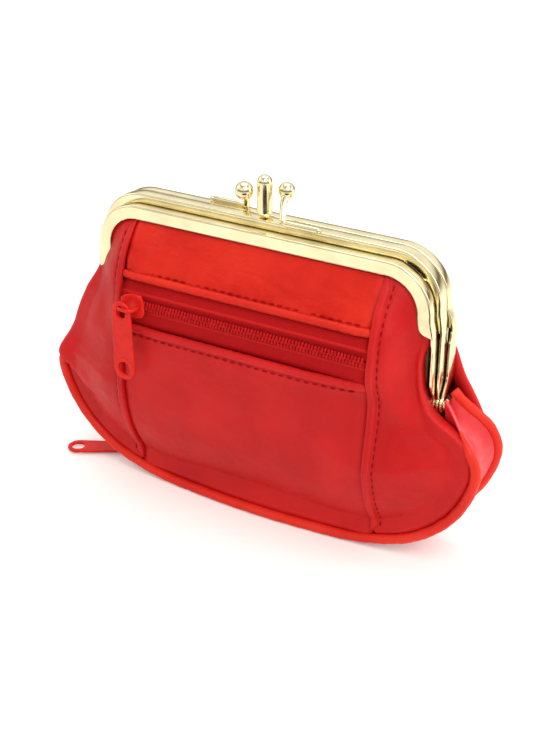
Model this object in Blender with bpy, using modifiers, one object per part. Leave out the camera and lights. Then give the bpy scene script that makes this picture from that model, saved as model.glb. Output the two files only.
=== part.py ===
"""Frame coin purse: three metal rails with a kiss clasp carry a two-compartment leather pouch with two zips."""

import math
from typing import NamedTuple

import bmesh
import bpy
from mathutils import Matrix, Vector

# Sizes in metres. +X runs to the right, -Y to the front, +Z up from the surface that the purse stands on.

# Fits that all pieces share
GAP = 0.0003
OVERRUN = 0.002
MERGE = 0.00001
ARC_STEPS = 7
ROUND_STEPS = 16

# Hinge: eyes of the three rails on one rivet at each side
HINGE_Z = 0.0460
EYE_START = 0.0512
EYE_WIDTH = 0.0007
EYE_RADIUS = 0.0021
RIVET_RADIUS = 0.0010
RIVET_HEAD_RADIUS = 0.0018
RIVET_HEAD_HEIGHT = 0.0008
RIVET_BORE = 0.0006
RIVET_BORE_DEPTH = 0.0012

# Rails
RAIL_WALL = 0.0005
FLANGE_END_Z = 0.0673
FLANGE_TAPER_Z = 0.0740
FLANGE_LEAST = 0.0011
LEG_BEND_Z = 0.0540
LEG_JOG_Z = 0.0700
EYE_NECK = 0.0015
SLOT_LENGTH = 0.0052
SLOT_WIDTH = 0.0013


class Rail(NamedTuple):
    """One rail: half its width, its top, its corner, its near and far edge, and the same for its legs."""

    half_width: float
    top: float
    corner: float
    near: float
    far: float
    leg_near: float
    leg_far: float
    near_flange: float
    far_flange: float
    place_in_stack: int


FRONT_RAIL = Rail(0.0510, 0.0852, 0.0130, -0.00565, -0.00245, -0.00565, -0.00260, 0.0034, 0.0022, 0)
MIDDLE_RAIL = Rail(0.0520, 0.0875, 0.0135, -0.00195, 0.00195, -0.00190, 0.00090, 0.0024, 0.0024, 1)
BACK_RAIL = Rail(0.0520, 0.0872, 0.0135, 0.00245, 0.00565, 0.00270, 0.00590, 0.0022, 0.0034, 2)

# Clasp
POST_RADIUS = 0.0021
POST_HEIGHT = 0.0126
BAR_RADIUS = 0.0009
BAR_LENGTH = 0.0113
FRONT_BALL = Vector((0.0049, 0.0030, 0.0957))
FRONT_BALL_RADIUS = 0.0023
FRONT_ARM_X = 0.0069
FRONT_BAR_Y = -0.0029
FRONT_BAR_Z = 0.0883
FRONT_PLATE_WALL = 0.0006
BACK_BALL = Vector((-0.0050, -0.0028, 0.0960))
BACK_BALL_RADIUS = 0.0025
BACK_NECK_X = -0.0081
BACK_BAR_Y = 0.0040
BACK_BAR_SUNK = 0.0004
NECK_RADIUS = 0.0009
NECK_BEND_SHARE = 0.55

# Pouch
BAG_HALF_WIDTH = 0.0668
PIPING_RADIUS = 0.0014
PIPING_LOW_Z = 0.0012
PIPING_END_Z = 0.0520
PIPING_SIDE_Y = 0.0075
PIPING_SWELL = 0.0025
SWELL_WIDTH = 0.0300
SWELL_HEIGHT = 0.0150
SIDE_OUTLINE_SHARES = (
    (0.000, 0.000), (0.300, 0.000), (0.450, 0.006), (0.576, 0.033), (0.711, 0.090), (0.823, 0.185),
    (0.913, 0.311), (0.973, 0.459), (1.000, 0.606), (0.982, 0.754), (0.933, 0.892), (0.873, 1.000),
)
LEATHER = 0.0009
SEAM_X = 0.0380
FRONT_BULGE_Y = 0.0165
BACK_BULGE_Y = 0.0190
BULGE_REACH = 0.0370
BULGE_POWER = 2.87
PANEL_ROOT_Y = 0.00485
CORD_RADIUS = 0.0002
SHOULDER_SHARES = ((0.940, 0.350), (0.885, 0.660))
SHOULDER_STEP = 0.0010
LINING_WALL = 0.0005
FRONT_LINING_DEPTH = 0.0026
BACK_LINING_DEPTH = 0.0018
LINING_LOW_Z = 0.0080
LINING_TOP_Z = 0.0655
LINING_HALF_WIDTH = 0.0465
LINING_SHARES = ((0.56, 0.00), (0.68, 0.10), (0.79, 0.22), (0.85, 0.38), (0.83, 0.52), (0.76, 0.60))
GUSSET_CENTRE_SHARES = (
    (0.716, 0.070), (0.813, 0.197), (0.888, 0.331), (0.934, 0.478), (0.948, 0.606), (0.918, 0.705),
    (0.865, 0.764), (0.822, 0.783),
)
GUSSET_HOLLOW_POWER = 1.7
GUSSET_WALL = 0.0010
FLOOR_ZIP_Z = 0.0045
FLOOR_GUSSET_WALL = 0.0008
FLOOR_HOLLOW_POWER = 4
FLOOR_ZIP_HALF_LENGTH = 0.0460
DIVIDER_WALL = 0.0012
DIVIDER_LOW_Z = 0.0072
DIVIDER_BAG_SHARES = ((0.659, 0.0), (0.756, 0.080), (0.831, 0.163), (0.873, 0.240), (0.888, 0.316))
DIVIDER_RAIL_SHARES = (
    (1.098, 0.364), (1.028, 0.395), (0.962, 0.412), (0.935, 0.444), (0.935, 0.765), (0.924, 0.870),
    (0.874, 0.930), (0.796, 0.970), (0.719, 0.985),
)

# Front zip
ZIP_Z = 0.0613
ZIP_OPEN_LOW = 0.0545
ZIP_OPEN_HIGH = 0.0668
WELT_RADIUS = 0.0012
TAPE_WALL = 0.0004
TAPE_Y = -0.01515
COIL_RADIUS = 0.00055
COIL_Y = -0.0160
COIL_APART = 0.00085
SLIDER_X = -0.0335
SLIDER_LENGTH = 0.0080
SLIDER_WIDTH = 0.0056
SLIDER_WALL = 0.0007
SLIDER_TAIL_SHARE = 0.72
CROWN_RADIUS = 0.00042
LINK_RADIUS = 0.0010
LINK_WIRE = 0.00025
LINK_FROM_CROWN_END = 0.0012
TAB_LENGTH = 0.0225
TAB_WIDTH = 0.0069
TAB_NECK = 0.0022
TAB_SHOULDER = 0.0026
TAB_WALL = 0.0008
TAB_HOLE_HALF_WIDTH = 0.0018
TAB_HOLE_HALF_LENGTH = 0.0027
TAB_HOLE_FROM_END = 0.0047
TAB_CORNER = 0.0030
TAB_CORNER_STEPS = 4

# Zip along the bottom gusset
FLOOR_ZIP_Y = 0.0017
FLOOR_SLOT_HALF_WIDTH = 0.0032
FLOOR_TAPE_HALF_WIDTH = 0.0037
FLOOR_COIL_Z = 0.00515
FLOOR_SLIDER_FROM_END = 0.0005
FLOOR_TAB_WIDTH = 0.0064
FLOOR_TAB_LOW = 0.0004
FLOOR_TAB_TURN = math.radians(28)

METAL = ((0.86, 0.71, 0.47, 1.0), 0.22, 1.0)
RED_METAL = ((0.72, 0.02, 0.015, 1.0), 0.18, 0.4)
LEATHER_RED = ((0.56, 0.025, 0.018, 1.0), 0.45, 0.0)
LEATHER_BRIGHT = ((0.70, 0.05, 0.02, 1.0), 0.42, 0.0)
ZIP_RED = ((0.52, 0.012, 0.03, 1.0), 0.70, 0.0)
LINING_TAN = ((0.50, 0.34, 0.20, 1.0), 0.85, 0.0)
PAPER = ((0.75, 0.68, 0.55, 1.0), 0.90, 0.0)


def clear_scene():
    for old in list(bpy.data.objects):
        bpy.data.objects.remove(old)


def collection(name, hidden=False):
    made = bpy.data.collections.new(name)
    made.hide_render = hidden
    bpy.context.scene.collection.children.link(made)
    return made


def finish(obj, look):
    """Give an object its own material and put it in the purse's collection."""
    colour, roughness, metallic = look
    material = bpy.data.materials.new(obj.name)
    material.use_nodes = True
    shader = material.node_tree.nodes["Principled BSDF"]
    shader.inputs["Base Color"].default_value = colour
    shader.inputs["Roughness"].default_value = roughness
    shader.inputs["Metallic"].default_value = metallic
    obj.data.materials.clear()
    obj.data.materials.append(material)
    if obj.name not in PURSE.objects:
        PURSE.objects.link(obj)
    if obj.data.polygons:
        obj.data.shade_smooth()
        obj.data.set_sharp_from_angle(angle=math.radians(35))
    return obj


def mesh_object(name, bm):
    mesh = bpy.data.meshes.new(name)
    bm.to_mesh(mesh)
    bm.free()
    return bpy.data.objects.new(name, mesh)


def cutter(obj):
    obj.hide_render = True
    obj.display_type = "WIRE"
    CUTTERS.objects.link(obj)
    return obj


def combine(obj, other, operation):
    step = obj.modifiers.new(operation.title(), "BOOLEAN")
    step.operation = operation
    step.object = other
    return step


def bevel(obj, width, segments=2):
    step = obj.modifiers.new("Bevel", "BEVEL")
    step.width = width
    step.segments = segments
    step.limit_method = "ANGLE"
    return step


def sheet(columns, rows, place):
    """A grid whose points lie where place(across, up) says, both running from 0 to 1."""
    bm = bmesh.new()
    bmesh.ops.create_grid(bm, x_segments=columns, y_segments=rows, size=1.0)
    for vert in bm.verts:
        across = round((vert.co.x + 1) / 2 * columns) / columns
        up = round((vert.co.y + 1) / 2 * rows) / rows
        vert.co = place(across, up)
    return bm


def slab(name, columns, rows, place, depth):
    """A closed sheet: the grid and a copy of it, moved by depth."""
    bm = sheet(columns, rows, place)
    made = bmesh.ops.extrude_face_region(bm, geom=bm.faces[:])
    moved = [item for item in made["geom"] if isinstance(item, bmesh.types.BMVert)]
    bmesh.ops.translate(bm, verts=moved, vec=depth)
    bmesh.ops.recalc_face_normals(bm, faces=bm.faces)
    return mesh_object(name, bm)


def tube(name, points, radius, resolution=2):
    """A round wire along the points, made a mesh with closed ends."""
    curve = bpy.data.curves.new(name, "CURVE")
    curve.dimensions = "3D"
    curve.bevel_depth = radius
    curve.bevel_resolution = resolution
    curve.use_fill_caps = True
    spline = curve.splines.new("POLY")
    spline.points.add(len(points) - 1)
    for point, place in zip(spline.points, points):
        point.co = (*place, 1.0)
    obj = bpy.data.objects.new(name, curve)
    bpy.context.scene.collection.objects.link(obj)
    bpy.context.view_layer.update()
    evaluated = obj.evaluated_get(bpy.context.evaluated_depsgraph_get())
    mesh = bpy.data.meshes.new_from_object(evaluated)
    bpy.data.objects.remove(obj)
    bm = bmesh.new()
    bm.from_mesh(mesh)
    bmesh.ops.remove_doubles(bm, verts=bm.verts, dist=MERGE)
    bmesh.ops.recalc_face_normals(bm, faces=bm.faces)
    bm.to_mesh(mesh)
    bm.free()
    return bpy.data.objects.new(name, mesh)


def ball(name, centre, radius):
    bm = bmesh.new()
    bmesh.ops.create_uvsphere(bm, u_segments=ROUND_STEPS, v_segments=ROUND_STEPS // 2, radius=radius)
    bmesh.ops.translate(bm, verts=bm.verts, vec=centre)
    return mesh_object(name, bm)


def box(name, low, high):
    bm = bmesh.new()
    bmesh.ops.create_cube(bm, size=1.0)
    size = Vector(high) - Vector(low)
    bmesh.ops.scale(bm, verts=bm.verts, vec=size)
    bmesh.ops.translate(bm, verts=bm.verts, vec=(Vector(high) + Vector(low)) / 2)
    return mesh_object(name, bm)


def disc(name, radius, start, end, axis, steps=ROUND_STEPS):
    """A cylinder from start to end along X, Y or Z."""
    bm = bmesh.new()
    length = (end - start).length
    bmesh.ops.create_cone(
        bm, cap_ends=True, segments=steps, radius1=radius, radius2=radius, depth=length
    )
    turn = {"X": Matrix.Rotation(math.pi / 2, 3, "Y"), "Y": Matrix.Rotation(math.pi / 2, 3, "X")}
    bmesh.ops.rotate(bm, verts=bm.verts, matrix=turn.get(axis, Matrix.Identity(3)))
    bmesh.ops.translate(bm, verts=bm.verts, vec=(start + end) / 2)
    return mesh_object(name, bm)


def turned(name, profile):
    """A profile of (radius, height) pairs turned about Z."""
    mesh = bpy.data.meshes.new(name)
    count = len(profile)
    mesh.from_pydata([(r, 0, z) for r, z in profile], [(i, i + 1) for i in range(count - 1)], [])
    obj = bpy.data.objects.new(name, mesh)
    screw = obj.modifiers.new("Screw", "SCREW")
    screw.steps = ROUND_STEPS
    screw.render_steps = ROUND_STEPS
    screw.use_merge_vertices = True
    screw.merge_threshold = MERGE
    return obj


def smooth(points, steps):
    """A Catmull-Rom curve through the points."""
    ends = [points[0], *points, points[-1]]
    made = []
    for before, start, end, after in zip(ends, ends[1:], ends[2:], ends[3:]):
        for step in range(steps):
            t = step / steps
            made.append(
                tuple(
                    0.5 * (2 * b + (c - a) * t + (2 * a - 5 * b + 4 * c - d) * t * t
                           + (3 * b - a - 3 * c + d) * t ** 3)
                    for a, b, c, d in zip(before, start, end, after)
                )
            )
    made.append(tuple(points[-1]))
    return made


def inset(path, distances):
    """Move each point of an (x, z) path to the left of its direction by its own distance."""
    moved = []
    for index, (x, z) in enumerate(path):
        before = Vector(path[max(index - 1, 0)])
        after = Vector(path[min(index + 1, len(path) - 1)])
        along = (after - before).normalized()
        moved.append((x - along.y * distances[index], z + along.x * distances[index]))
    return moved


def along_path(path, share):
    place = share * (len(path) - 1)
    index = min(int(place), len(path) - 2)
    rest = place - index
    return tuple(a + (b - a) * rest for a, b in zip(path[index], path[index + 1]))


def clamp(value, low=0.0, high=1.0):
    return max(low, min(high, value))


def depth_inside(path, x, z):
    """Distance of a point from a path, negative where it lies outside, to the path's right."""
    spot = Vector((x, z))
    least = None
    for start, end in zip(path, path[1:]):
        start = Vector(start)
        run = Vector(end) - start
        share = clamp((spot - start).dot(run) / run.length_squared)
        away = (spot - start - run * share).length
        if least is None or away < abs(least):
            least = math.copysign(away, run.x * (spot.y - start.y) - run.y * (spot.x - start.x))
    return least


# Rails


def leg_x(rail):
    return EYE_START + rail.place_in_stack * (EYE_WIDTH + GAP) + EYE_WIDTH / 2


def rail_path(rail):
    """Right half of a rail's wall, from the foot over the corner to the middle of the top."""
    half_wall = RAIL_WALL / 2
    radius = rail.corner - half_wall
    centre = Vector((rail.half_width - rail.corner, rail.top - rail.corner))
    foot = leg_x(rail)
    path = [(foot, HINGE_Z), (foot, (HINGE_Z + LEG_BEND_Z) / 2), (foot, LEG_BEND_Z)]
    path += [(foot, (LEG_BEND_Z + FLANGE_END_Z) / 2), (foot, FLANGE_END_Z)]
    path.append((rail.half_width - half_wall, max(centre.y - GAP, LEG_JOG_Z + GAP)))
    for step in range(1, ARC_STEPS + 1):
        turn = math.pi / 2 * step / ARC_STEPS
        path.append((centre.x + radius * math.cos(turn), centre.y + radius * math.sin(turn)))
    path.append((centre.x / 2, rail.top - half_wall))
    path.append((0.0, rail.top - half_wall))
    return path


def flange_depth(full, z):
    share = clamp((z - FLANGE_END_Z) / (FLANGE_TAPER_Z - FLANGE_END_Z))
    return FLANGE_LEAST + (full - FLANGE_LEAST) * share


def rail_edges(rail, z):
    """Near and far edge of the wall at a height: the legs bend to the hinge below LEG_BEND_Z."""
    half_wall = RAIL_WALL / 2
    upper = clamp((z - FLANGE_END_Z) / (FLANGE_TAPER_Z - FLANGE_END_Z))
    near = rail.leg_near + (rail.near - rail.leg_near) * upper + half_wall
    far = rail.leg_far + (rail.far - rail.leg_far) * upper - half_wall
    bent = clamp((LEG_BEND_Z - z) / (LEG_BEND_Z - HINGE_Z))
    near += (-EYE_NECK - near) * bent
    far += (EYE_NECK - far) * bent
    return near, far


def build_rail(name, rail):
    """A folded channel: a wall along the path with a flange from each edge, and an eye at each foot."""
    path = rail_path(rail)
    near_path = inset(path, [flange_depth(rail.near_flange, z) for x, z in path])
    far_path = inset(path, [flange_depth(rail.far_flange, z) for x, z in path])

    def place(across, up):
        index = round(up * (len(path) - 1))
        near, far = rail_edges(rail, path[index][1])
        outline, y = [
            (near_path, near), (path, near), (path, far), (far_path, far),
        ][round(across * 3)]
        x, z = outline[index]
        if index == len(path) - 1:
            x = 0.0
        return Vector((x, y, z))

    bm = sheet(3, len(path) - 1, place)
    bm.verts.ensure_lookup_table()
    loose = [
        face for face in bm.faces
        if face.calc_center_median().z < FLANGE_END_Z - MERGE
        and face.calc_center_median().x < leg_x(rail) - RAIL_WALL / 2
    ]
    bmesh.ops.delete(bm, geom=loose, context="FACES")
    obj = mesh_object(name, bm)
    mirror = obj.modifiers.new("Mirror", "MIRROR")
    mirror.merge_threshold = MERGE
    shell = obj.modifiers.new("Solidify", "SOLIDIFY")
    shell.thickness = RAIL_WALL
    shell.offset = 0.0
    shell.use_even_offset = True
    start = leg_x(rail) - EYE_WIDTH / 2
    for side, word in ((1, "right"), (-1, "left")):
        eye = disc(
            f"{name}_eye_{word}", EYE_RADIUS, Vector((side * start, 0, HINGE_Z)),
            Vector((side * (start + EYE_WIDTH), 0, HINGE_Z)), "X",
        )
        combine(obj, cutter(eye), "UNION")
    reach = leg_x(rail) + EYE_WIDTH + OVERRUN
    bore = disc(
        f"{name}_bore", RIVET_RADIUS + GAP, Vector((-reach, 0, HINGE_Z)),
        Vector((reach, 0, HINGE_Z)), "X",
    )
    combine(obj, cutter(bore), "DIFFERENCE")
    return obj


def cut_corner_slots(obj, rail):
    """The lens-shaped relief slot in the wall at each corner, where the channel was folded."""
    centre = Vector((rail.half_width - rail.corner, rail.top - rail.corner))
    for side, word in ((1, "right"), (-1, "left")):
        bm = bmesh.new()
        bmesh.ops.create_cone(
            bm, cap_ends=True, segments=ROUND_STEPS, radius1=0.5, radius2=0.5, depth=1.0
        )
        bmesh.ops.scale(bm, verts=bm.verts, vec=(SLOT_LENGTH, SLOT_WIDTH, 2 * OVERRUN))
        bmesh.ops.rotate(bm, verts=bm.verts, matrix=Matrix.Rotation(side * math.pi / 4, 3, "Y"))
        reach = rail.corner * math.sqrt(0.5)
        spot = Vector((side * (centre.x + reach), (rail.near + rail.far) / 2, centre.y + reach))
        bmesh.ops.translate(bm, verts=bm.verts, vec=spot)
        combine(obj, cutter(mesh_object(f"{obj.name}_slot_{word}", bm)), "DIFFERENCE")


def build_rivet(name, side):
    """A tubular rivet through the three eyes, with a shallow bore in its outer head."""
    inner = EYE_START - GAP
    outer = EYE_START + 3 * (EYE_WIDTH + GAP)
    top = outer + RIVET_HEAD_HEIGHT
    profile = [
        (0.0, top - RIVET_BORE_DEPTH),
        (RIVET_BORE, top - RIVET_BORE_DEPTH),
        (RIVET_BORE, top),
        (RIVET_HEAD_RADIUS - RIVET_HEAD_HEIGHT / 2, top),
        (RIVET_HEAD_RADIUS, top - RIVET_HEAD_HEIGHT / 2),
        (RIVET_HEAD_RADIUS, outer),
        (RIVET_RADIUS, outer),
        (RIVET_RADIUS, inner),
        (RIVET_HEAD_RADIUS, inner),
        (RIVET_HEAD_RADIUS, inner - RIVET_HEAD_HEIGHT),
        (0.0, inner - RIVET_HEAD_HEIGHT),
    ]
    obj = turned(name, profile)
    obj.rotation_euler = (0, side * math.pi / 2, 0)
    obj.location = (0, 0, HINGE_Z)
    return finish(obj, METAL)


# Clasp


def build_post():
    base = MIDDLE_RAIL.top + GAP
    top = base + POST_HEIGHT
    profile = [(0.0, top)]
    steps = ROUND_STEPS // 3
    for step in range(1, steps + 1):
        turn = math.pi / 2 * step / steps
        height = top - POST_RADIUS + POST_RADIUS * math.cos(turn)
        profile.append((POST_RADIUS * math.sin(turn), height))
    profile += [(POST_RADIUS, base + POST_RADIUS / 2), (POST_RADIUS / 2, base), (0.0, base)]
    return finish(turned("clasp_post", profile), METAL)


def build_front_clasp():
    """A wire soldered on a plate behind the front rail's face, with a strip that leans back to the ball."""
    bar_start = Vector((FRONT_ARM_X, FRONT_BAR_Y, FRONT_BAR_Z))
    bar_end = bar_start + Vector((BAR_LENGTH, 0, 0))
    obj = tube("front_clasp", [bar_start, bar_end], BAR_RADIUS)
    plate = box(
        "front_clasp_plate",
        (FRONT_ARM_X + BAR_RADIUS, FRONT_BAR_Y - FRONT_PLATE_WALL / 2, FRONT_RAIL.top + GAP),
        (FRONT_ARM_X + BAR_LENGTH - BAR_RADIUS, FRONT_BAR_Y + FRONT_PLATE_WALL / 2, FRONT_BAR_Z),
    )
    combine(obj, cutter(plate), "UNION")
    middle = bar_start.lerp(FRONT_BALL, NECK_BEND_SHARE)
    middle.y -= FRONT_BALL_RADIUS / 3
    arm = tube(
        "front_clasp_arm", smooth([tuple(bar_start), tuple(middle), tuple(FRONT_BALL)], 4), NECK_RADIUS
    )
    combine(obj, cutter(arm), "UNION")
    head = ball("front_clasp_ball", FRONT_BALL, FRONT_BALL_RADIUS)
    combine(obj, cutter(head), "UNION")
    return finish(obj, METAL)


def build_back_clasp():
    """A half-sunk wire on the back rail, with a neck that leans forward to the ball."""
    bar_z = BACK_RAIL.top + GAP + BAR_RADIUS - BACK_BAR_SUNK
    bar_start = Vector((BACK_NECK_X, BACK_BAR_Y, bar_z))
    bar_end = bar_start - Vector((BAR_LENGTH, 0, 0))
    obj = tube("back_clasp", [bar_start, bar_end], BAR_RADIUS)
    middle = bar_start.lerp(BACK_BALL, NECK_BEND_SHARE)
    middle.y += BACK_BALL_RADIUS / 3
    neck = tube(
        "back_clasp_neck", smooth([tuple(bar_start), tuple(middle), tuple(BACK_BALL)], 4), NECK_RADIUS
    )
    combine(obj, cutter(neck), "UNION")
    combine(obj, cutter(ball("back_clasp_ball", BACK_BALL, BACK_BALL_RADIUS)), "UNION")
    low = Vector((bar_end.x - OVERRUN, BACK_BAR_Y - OVERRUN, bar_z - 2 * OVERRUN))
    high = Vector((bar_start.x + OVERRUN, BACK_BAR_Y + OVERRUN, BACK_RAIL.top + GAP))
    combine(obj, cutter(box("back_clasp_flat", low, high)), "DIFFERENCE")
    return finish(obj, METAL)


# Pouch outlines


def side_z(share):
    return PIPING_LOW_Z + share * (PIPING_END_Z - PIPING_LOW_Z)


def piping_line():
    """Right half of the piping's centre line, from the middle of the bottom to the hinge."""
    points = [(x * BAG_HALF_WIDTH, side_z(z)) for x, z in SIDE_OUTLINE_SHARES]
    return smooth(points, 2)


def piping_y(x, z):
    swell = PIPING_SWELL * math.exp(-((x / SWELL_WIDTH) ** 2) - ((z / SWELL_HEIGHT) ** 2))
    return PIPING_SIDE_Y + swell


def panel_edges(rail):
    """Station by station up the pouch: the panel's hidden edge and its visible edge, as (x, z) pairs."""
    line = piping_line()
    seat = PIPING_RADIUS + LEATHER / 2
    hidden = inset(line, [seat] * len(line))
    below = leg_x(FRONT_RAIL) - RAIL_WALL
    rise = FLANGE_END_Z - PIPING_END_Z
    for x_share, z_share in SHOULDER_SHARES:
        hidden.append((below + (hidden[-1][0] - below) * (1 - z_share), PIPING_END_Z + rise * z_share))
    hidden.append((below, FLANGE_END_Z - 2 * SHOULDER_STEP))
    visible = inset(hidden, [LEATHER] * len(hidden))
    path = [spot for spot in rail_path(rail) if spot[1] > FLANGE_END_Z + MERGE]
    flange = max(rail.near_flange, rail.far_flange)
    in_channel = inset(path, [RAIL_WALL / 2 + GAP] * len(path))
    at_flange = inset(path, [flange_depth(flange, z) + 1.5 * GAP for x, z in path])
    ledge_x = in_channel[0][0] - RAIL_WALL
    hidden.append((ledge_x, FLANGE_END_Z - SHOULDER_STEP))
    visible.append((ledge_x - FLANGE_LEAST, FLANGE_END_Z - SHOULDER_STEP))
    hidden.append((ledge_x, FLANGE_END_Z))
    visible.append((ledge_x - FLANGE_LEAST, FLANGE_END_Z))
    return hidden + in_channel, visible + at_flange


def root_y(x, z):
    """How far out the panel lies at its edge: behind the flange above, on the piping below."""
    if z > FLANGE_END_Z - 1.5 * SHOULDER_STEP:
        return PANEL_ROOT_Y
    return piping_y(x, z) + LEATHER / 2


def panel_y(x, z, visible, bulge):
    """Distance of the panel's outer face from the middle plane."""
    away = clamp(depth_inside(visible, abs(x), z) / BULGE_REACH)
    crown = PANEL_ROOT_Y + (bulge - PANEL_ROOT_Y) * (1 - (1 - away) ** BULGE_POWER)
    return max(root_y(x, z), crown)


def build_side_panel(name, rail, sign, side, bulge):
    """The outer panel from the centre seam to the piping, the hinge and the rail's channel."""
    hidden, visible = panel_edges(rail)
    first = next(i for i, spot in enumerate(hidden) if spot[0] > SEAM_X + 2 * LEATHER)
    last = max(i for i, spot in enumerate(hidden) if spot[0] > SEAM_X + 2 * LEATHER)
    outer = hidden[first:last + 1]
    edge = visible[first:last + 1]
    rows = len(outer) - 1
    inner_columns = 5
    seam = SEAM_X + GAP

    def place(across, up):
        index = round(up * rows)
        column = round(across * (inner_columns + 1))
        if column > inner_columns:
            x, z = outer[index]
            return Vector((side * x, sign * root_y(x, z), z))
        low, high = outer[0][1], outer[-1][1]
        start = (seam, low + (high - low) * index / rows)
        share = column / inner_columns
        x = start[0] + (max(edge[index][0], seam + LEATHER) - start[0]) * share
        z = start[1] + (edge[index][1] - start[1]) * share
        if column == inner_columns:
            return Vector((side * x, sign * root_y(x, z), z))
        return Vector((side * x, sign * panel_y(x, z, visible, bulge), z))

    obj = slab(name, inner_columns + 1, rows, place, Vector((0, -sign * LEATHER, 0)))
    return finish(obj, LEATHER_RED)


def edge_height(path, x, top):
    """Height of an outline over x: of its top half, or of its bottom half."""
    for start, end in zip(path, path[1:]):
        low, high = sorted((start[0], end[0]))
        rising = end[0] >= start[0]
        if low <= x <= high and rising != top and high > low:
            return start[1] + (end[1] - start[1]) * (x - start[0]) / (end[0] - start[0])
    return path[-1][1] if top else path[0][1]


def build_centre_panel(name, rail, sign, bulge, low, high, look):
    """The middle panel between the two seams; low or high is None where it runs to the pouch's own edge."""
    hidden, visible = panel_edges(rail)
    half = SEAM_X - GAP
    flange = visible[-1][1]
    columns = 8
    start = low if low is not None else edge_height(hidden, 0.0, False)
    end = high if high is not None else hidden[-1][1]
    rows = max(6, round((end - start) / (2 * BULGE_REACH) * 18))

    def place(across, up):
        x = half * (2 * across - 1)
        bottom = low if low is not None else edge_height(hidden, abs(x), False)
        index = round(up * rows)
        if high is None and index >= rows - 1:
            z = end if index == rows else flange
        else:
            reach = high if high is not None else flange
            count = rows if high is not None else rows - 1
            z = bottom + (reach - bottom) * index / count
        return Vector((x, sign * panel_y(x, z, visible, bulge), z))

    return finish(slab(name, columns, rows, place, Vector((0, -sign * LEATHER, 0))), look)


def build_lining(name, rail, sign, bulge, depth):
    """The stiffened inner wall behind a face, clear of the legs that turn past its edge."""
    visible = panel_edges(rail)[1]
    side = [(x * BAG_HALF_WIDTH, LINING_LOW_Z + z * (LINING_TOP_Z - LINING_LOW_Z)) for x, z in LINING_SHARES]
    side += [(LINING_HALF_WIDTH, HINGE_Z), (LINING_HALF_WIDTH, LINING_TOP_Z)]
    outline = smooth(side, 2)

    def place(across, up):
        half, z = along_path(outline, up)
        x = half * (2 * across - 1)
        y = panel_y(x, z, visible, bulge) - depth
        return Vector((x, sign * y, z))

    return finish(slab(name, 8, len(outline) - 1, place, Vector((0, -sign * LINING_WALL, 0))), LINING_TAN)


def build_piping(name, sign):
    """Corded edge from hinge to hinge, pressed flat where the purse stands on it."""
    half = [(x, z) for x, z in piping_line()]
    line = [(-x, z) for x, z in reversed(half[1:])] + half
    points = [Vector((x, sign * piping_y(x, z), z)) for x, z in line]
    obj = tube(name, points, PIPING_RADIUS)
    reach = BAG_HALF_WIDTH + 2 * OVERRUN
    floor = box(
        f"{name}_floor", (-reach, -reach, -2 * OVERRUN), (reach, reach, 0.0)
    )
    combine(obj, cutter(floor), "DIFFERENCE")
    return finish(obj, LEATHER_BRIGHT)


def gusset_edge_y(x, z, lean=0.0):
    return piping_y(x, z) - PIPING_RADIUS - GAP - lean


def build_side_gusset(name, side):
    """The hollow side of the pouch, from the bottom zip's end up to the rivet."""
    edge = [
        (x * BAG_HALF_WIDTH, side_z(z)) for x, z in SIDE_OUTLINE_SHARES
        if x * BAG_HALF_WIDTH > FLOOR_ZIP_HALF_LENGTH or z == 1.0
    ]
    centre = [(x * BAG_HALF_WIDTH, side_z(z)) for x, z in GUSSET_CENTRE_SHARES]
    edge_line = smooth(edge, 2)
    centre_line = smooth(centre, 2)
    rows = len(centre_line) - 1

    def place(across, up):
        v = 2 * across - 1
        edge_x, edge_z = along_path(edge_line, up)
        centre_x, centre_z = along_path(centre_line, up)
        share = abs(v) ** GUSSET_HOLLOW_POWER
        x = centre_x + (edge_x - centre_x) * share
        z = centre_z + (edge_z - centre_z) * share
        return Vector((side * x, v * gusset_edge_y(edge_x, edge_z, GUSSET_WALL), z))

    bm = sheet(8, rows, place)
    bm.normal_update()
    outward = sum((face.normal.x * side for face in bm.faces))
    if outward < 0:
        bmesh.ops.reverse_faces(bm, faces=bm.faces)
    obj = mesh_object(name, bm)
    shell = obj.modifiers.new("Solidify", "SOLIDIFY")
    shell.thickness = GUSSET_WALL
    shell.offset = -1.0
    return finish(obj, LEATHER_RED)


def build_floor_gusset(name, sign):
    """One half of the bottom between the piping and the zip's slot."""
    half = FLOOR_ZIP_HALF_LENGTH
    line = piping_line()

    def place(across, up):
        x = half * (2 * across - 1)
        edge_z = edge_height(line, abs(x), False)
        edge = gusset_edge_y(x, edge_z)
        slot = FLOOR_SLOT_HALF_WIDTH + sign * FLOOR_ZIP_Y
        y = edge + (slot - edge) * up
        share = 1 - (y / edge) ** FLOOR_HOLLOW_POWER
        return Vector((x, sign * y, edge_z + (FLOOR_ZIP_Z - edge_z) * share))

    return finish(slab(name, 16, 4, place, Vector((0, 0, FLOOR_GUSSET_WALL))), LEATHER_RED)


def build_divider():
    """The wall between the compartments, held in the middle rail's channel."""
    height = MIDDLE_RAIL.top - DIVIDER_LOW_Z
    shares = [(x * BAG_HALF_WIDTH, z) for x, z in DIVIDER_BAG_SHARES]
    shares += [(x * MIDDLE_RAIL.half_width, z) for x, z in DIVIDER_RAIL_SHARES]
    side = [(x, DIVIDER_LOW_Z + z * height) for x, z in shares]

    def place(across, up):
        half, z = side[round(up * (len(side) - 1))]
        return Vector((half * (2 * across - 1), DIVIDER_WALL / 2, z))

    return finish(slab("divider", 4, len(side) - 1, place, Vector((0, -DIVIDER_WALL, 0))), LINING_TAN)


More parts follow.
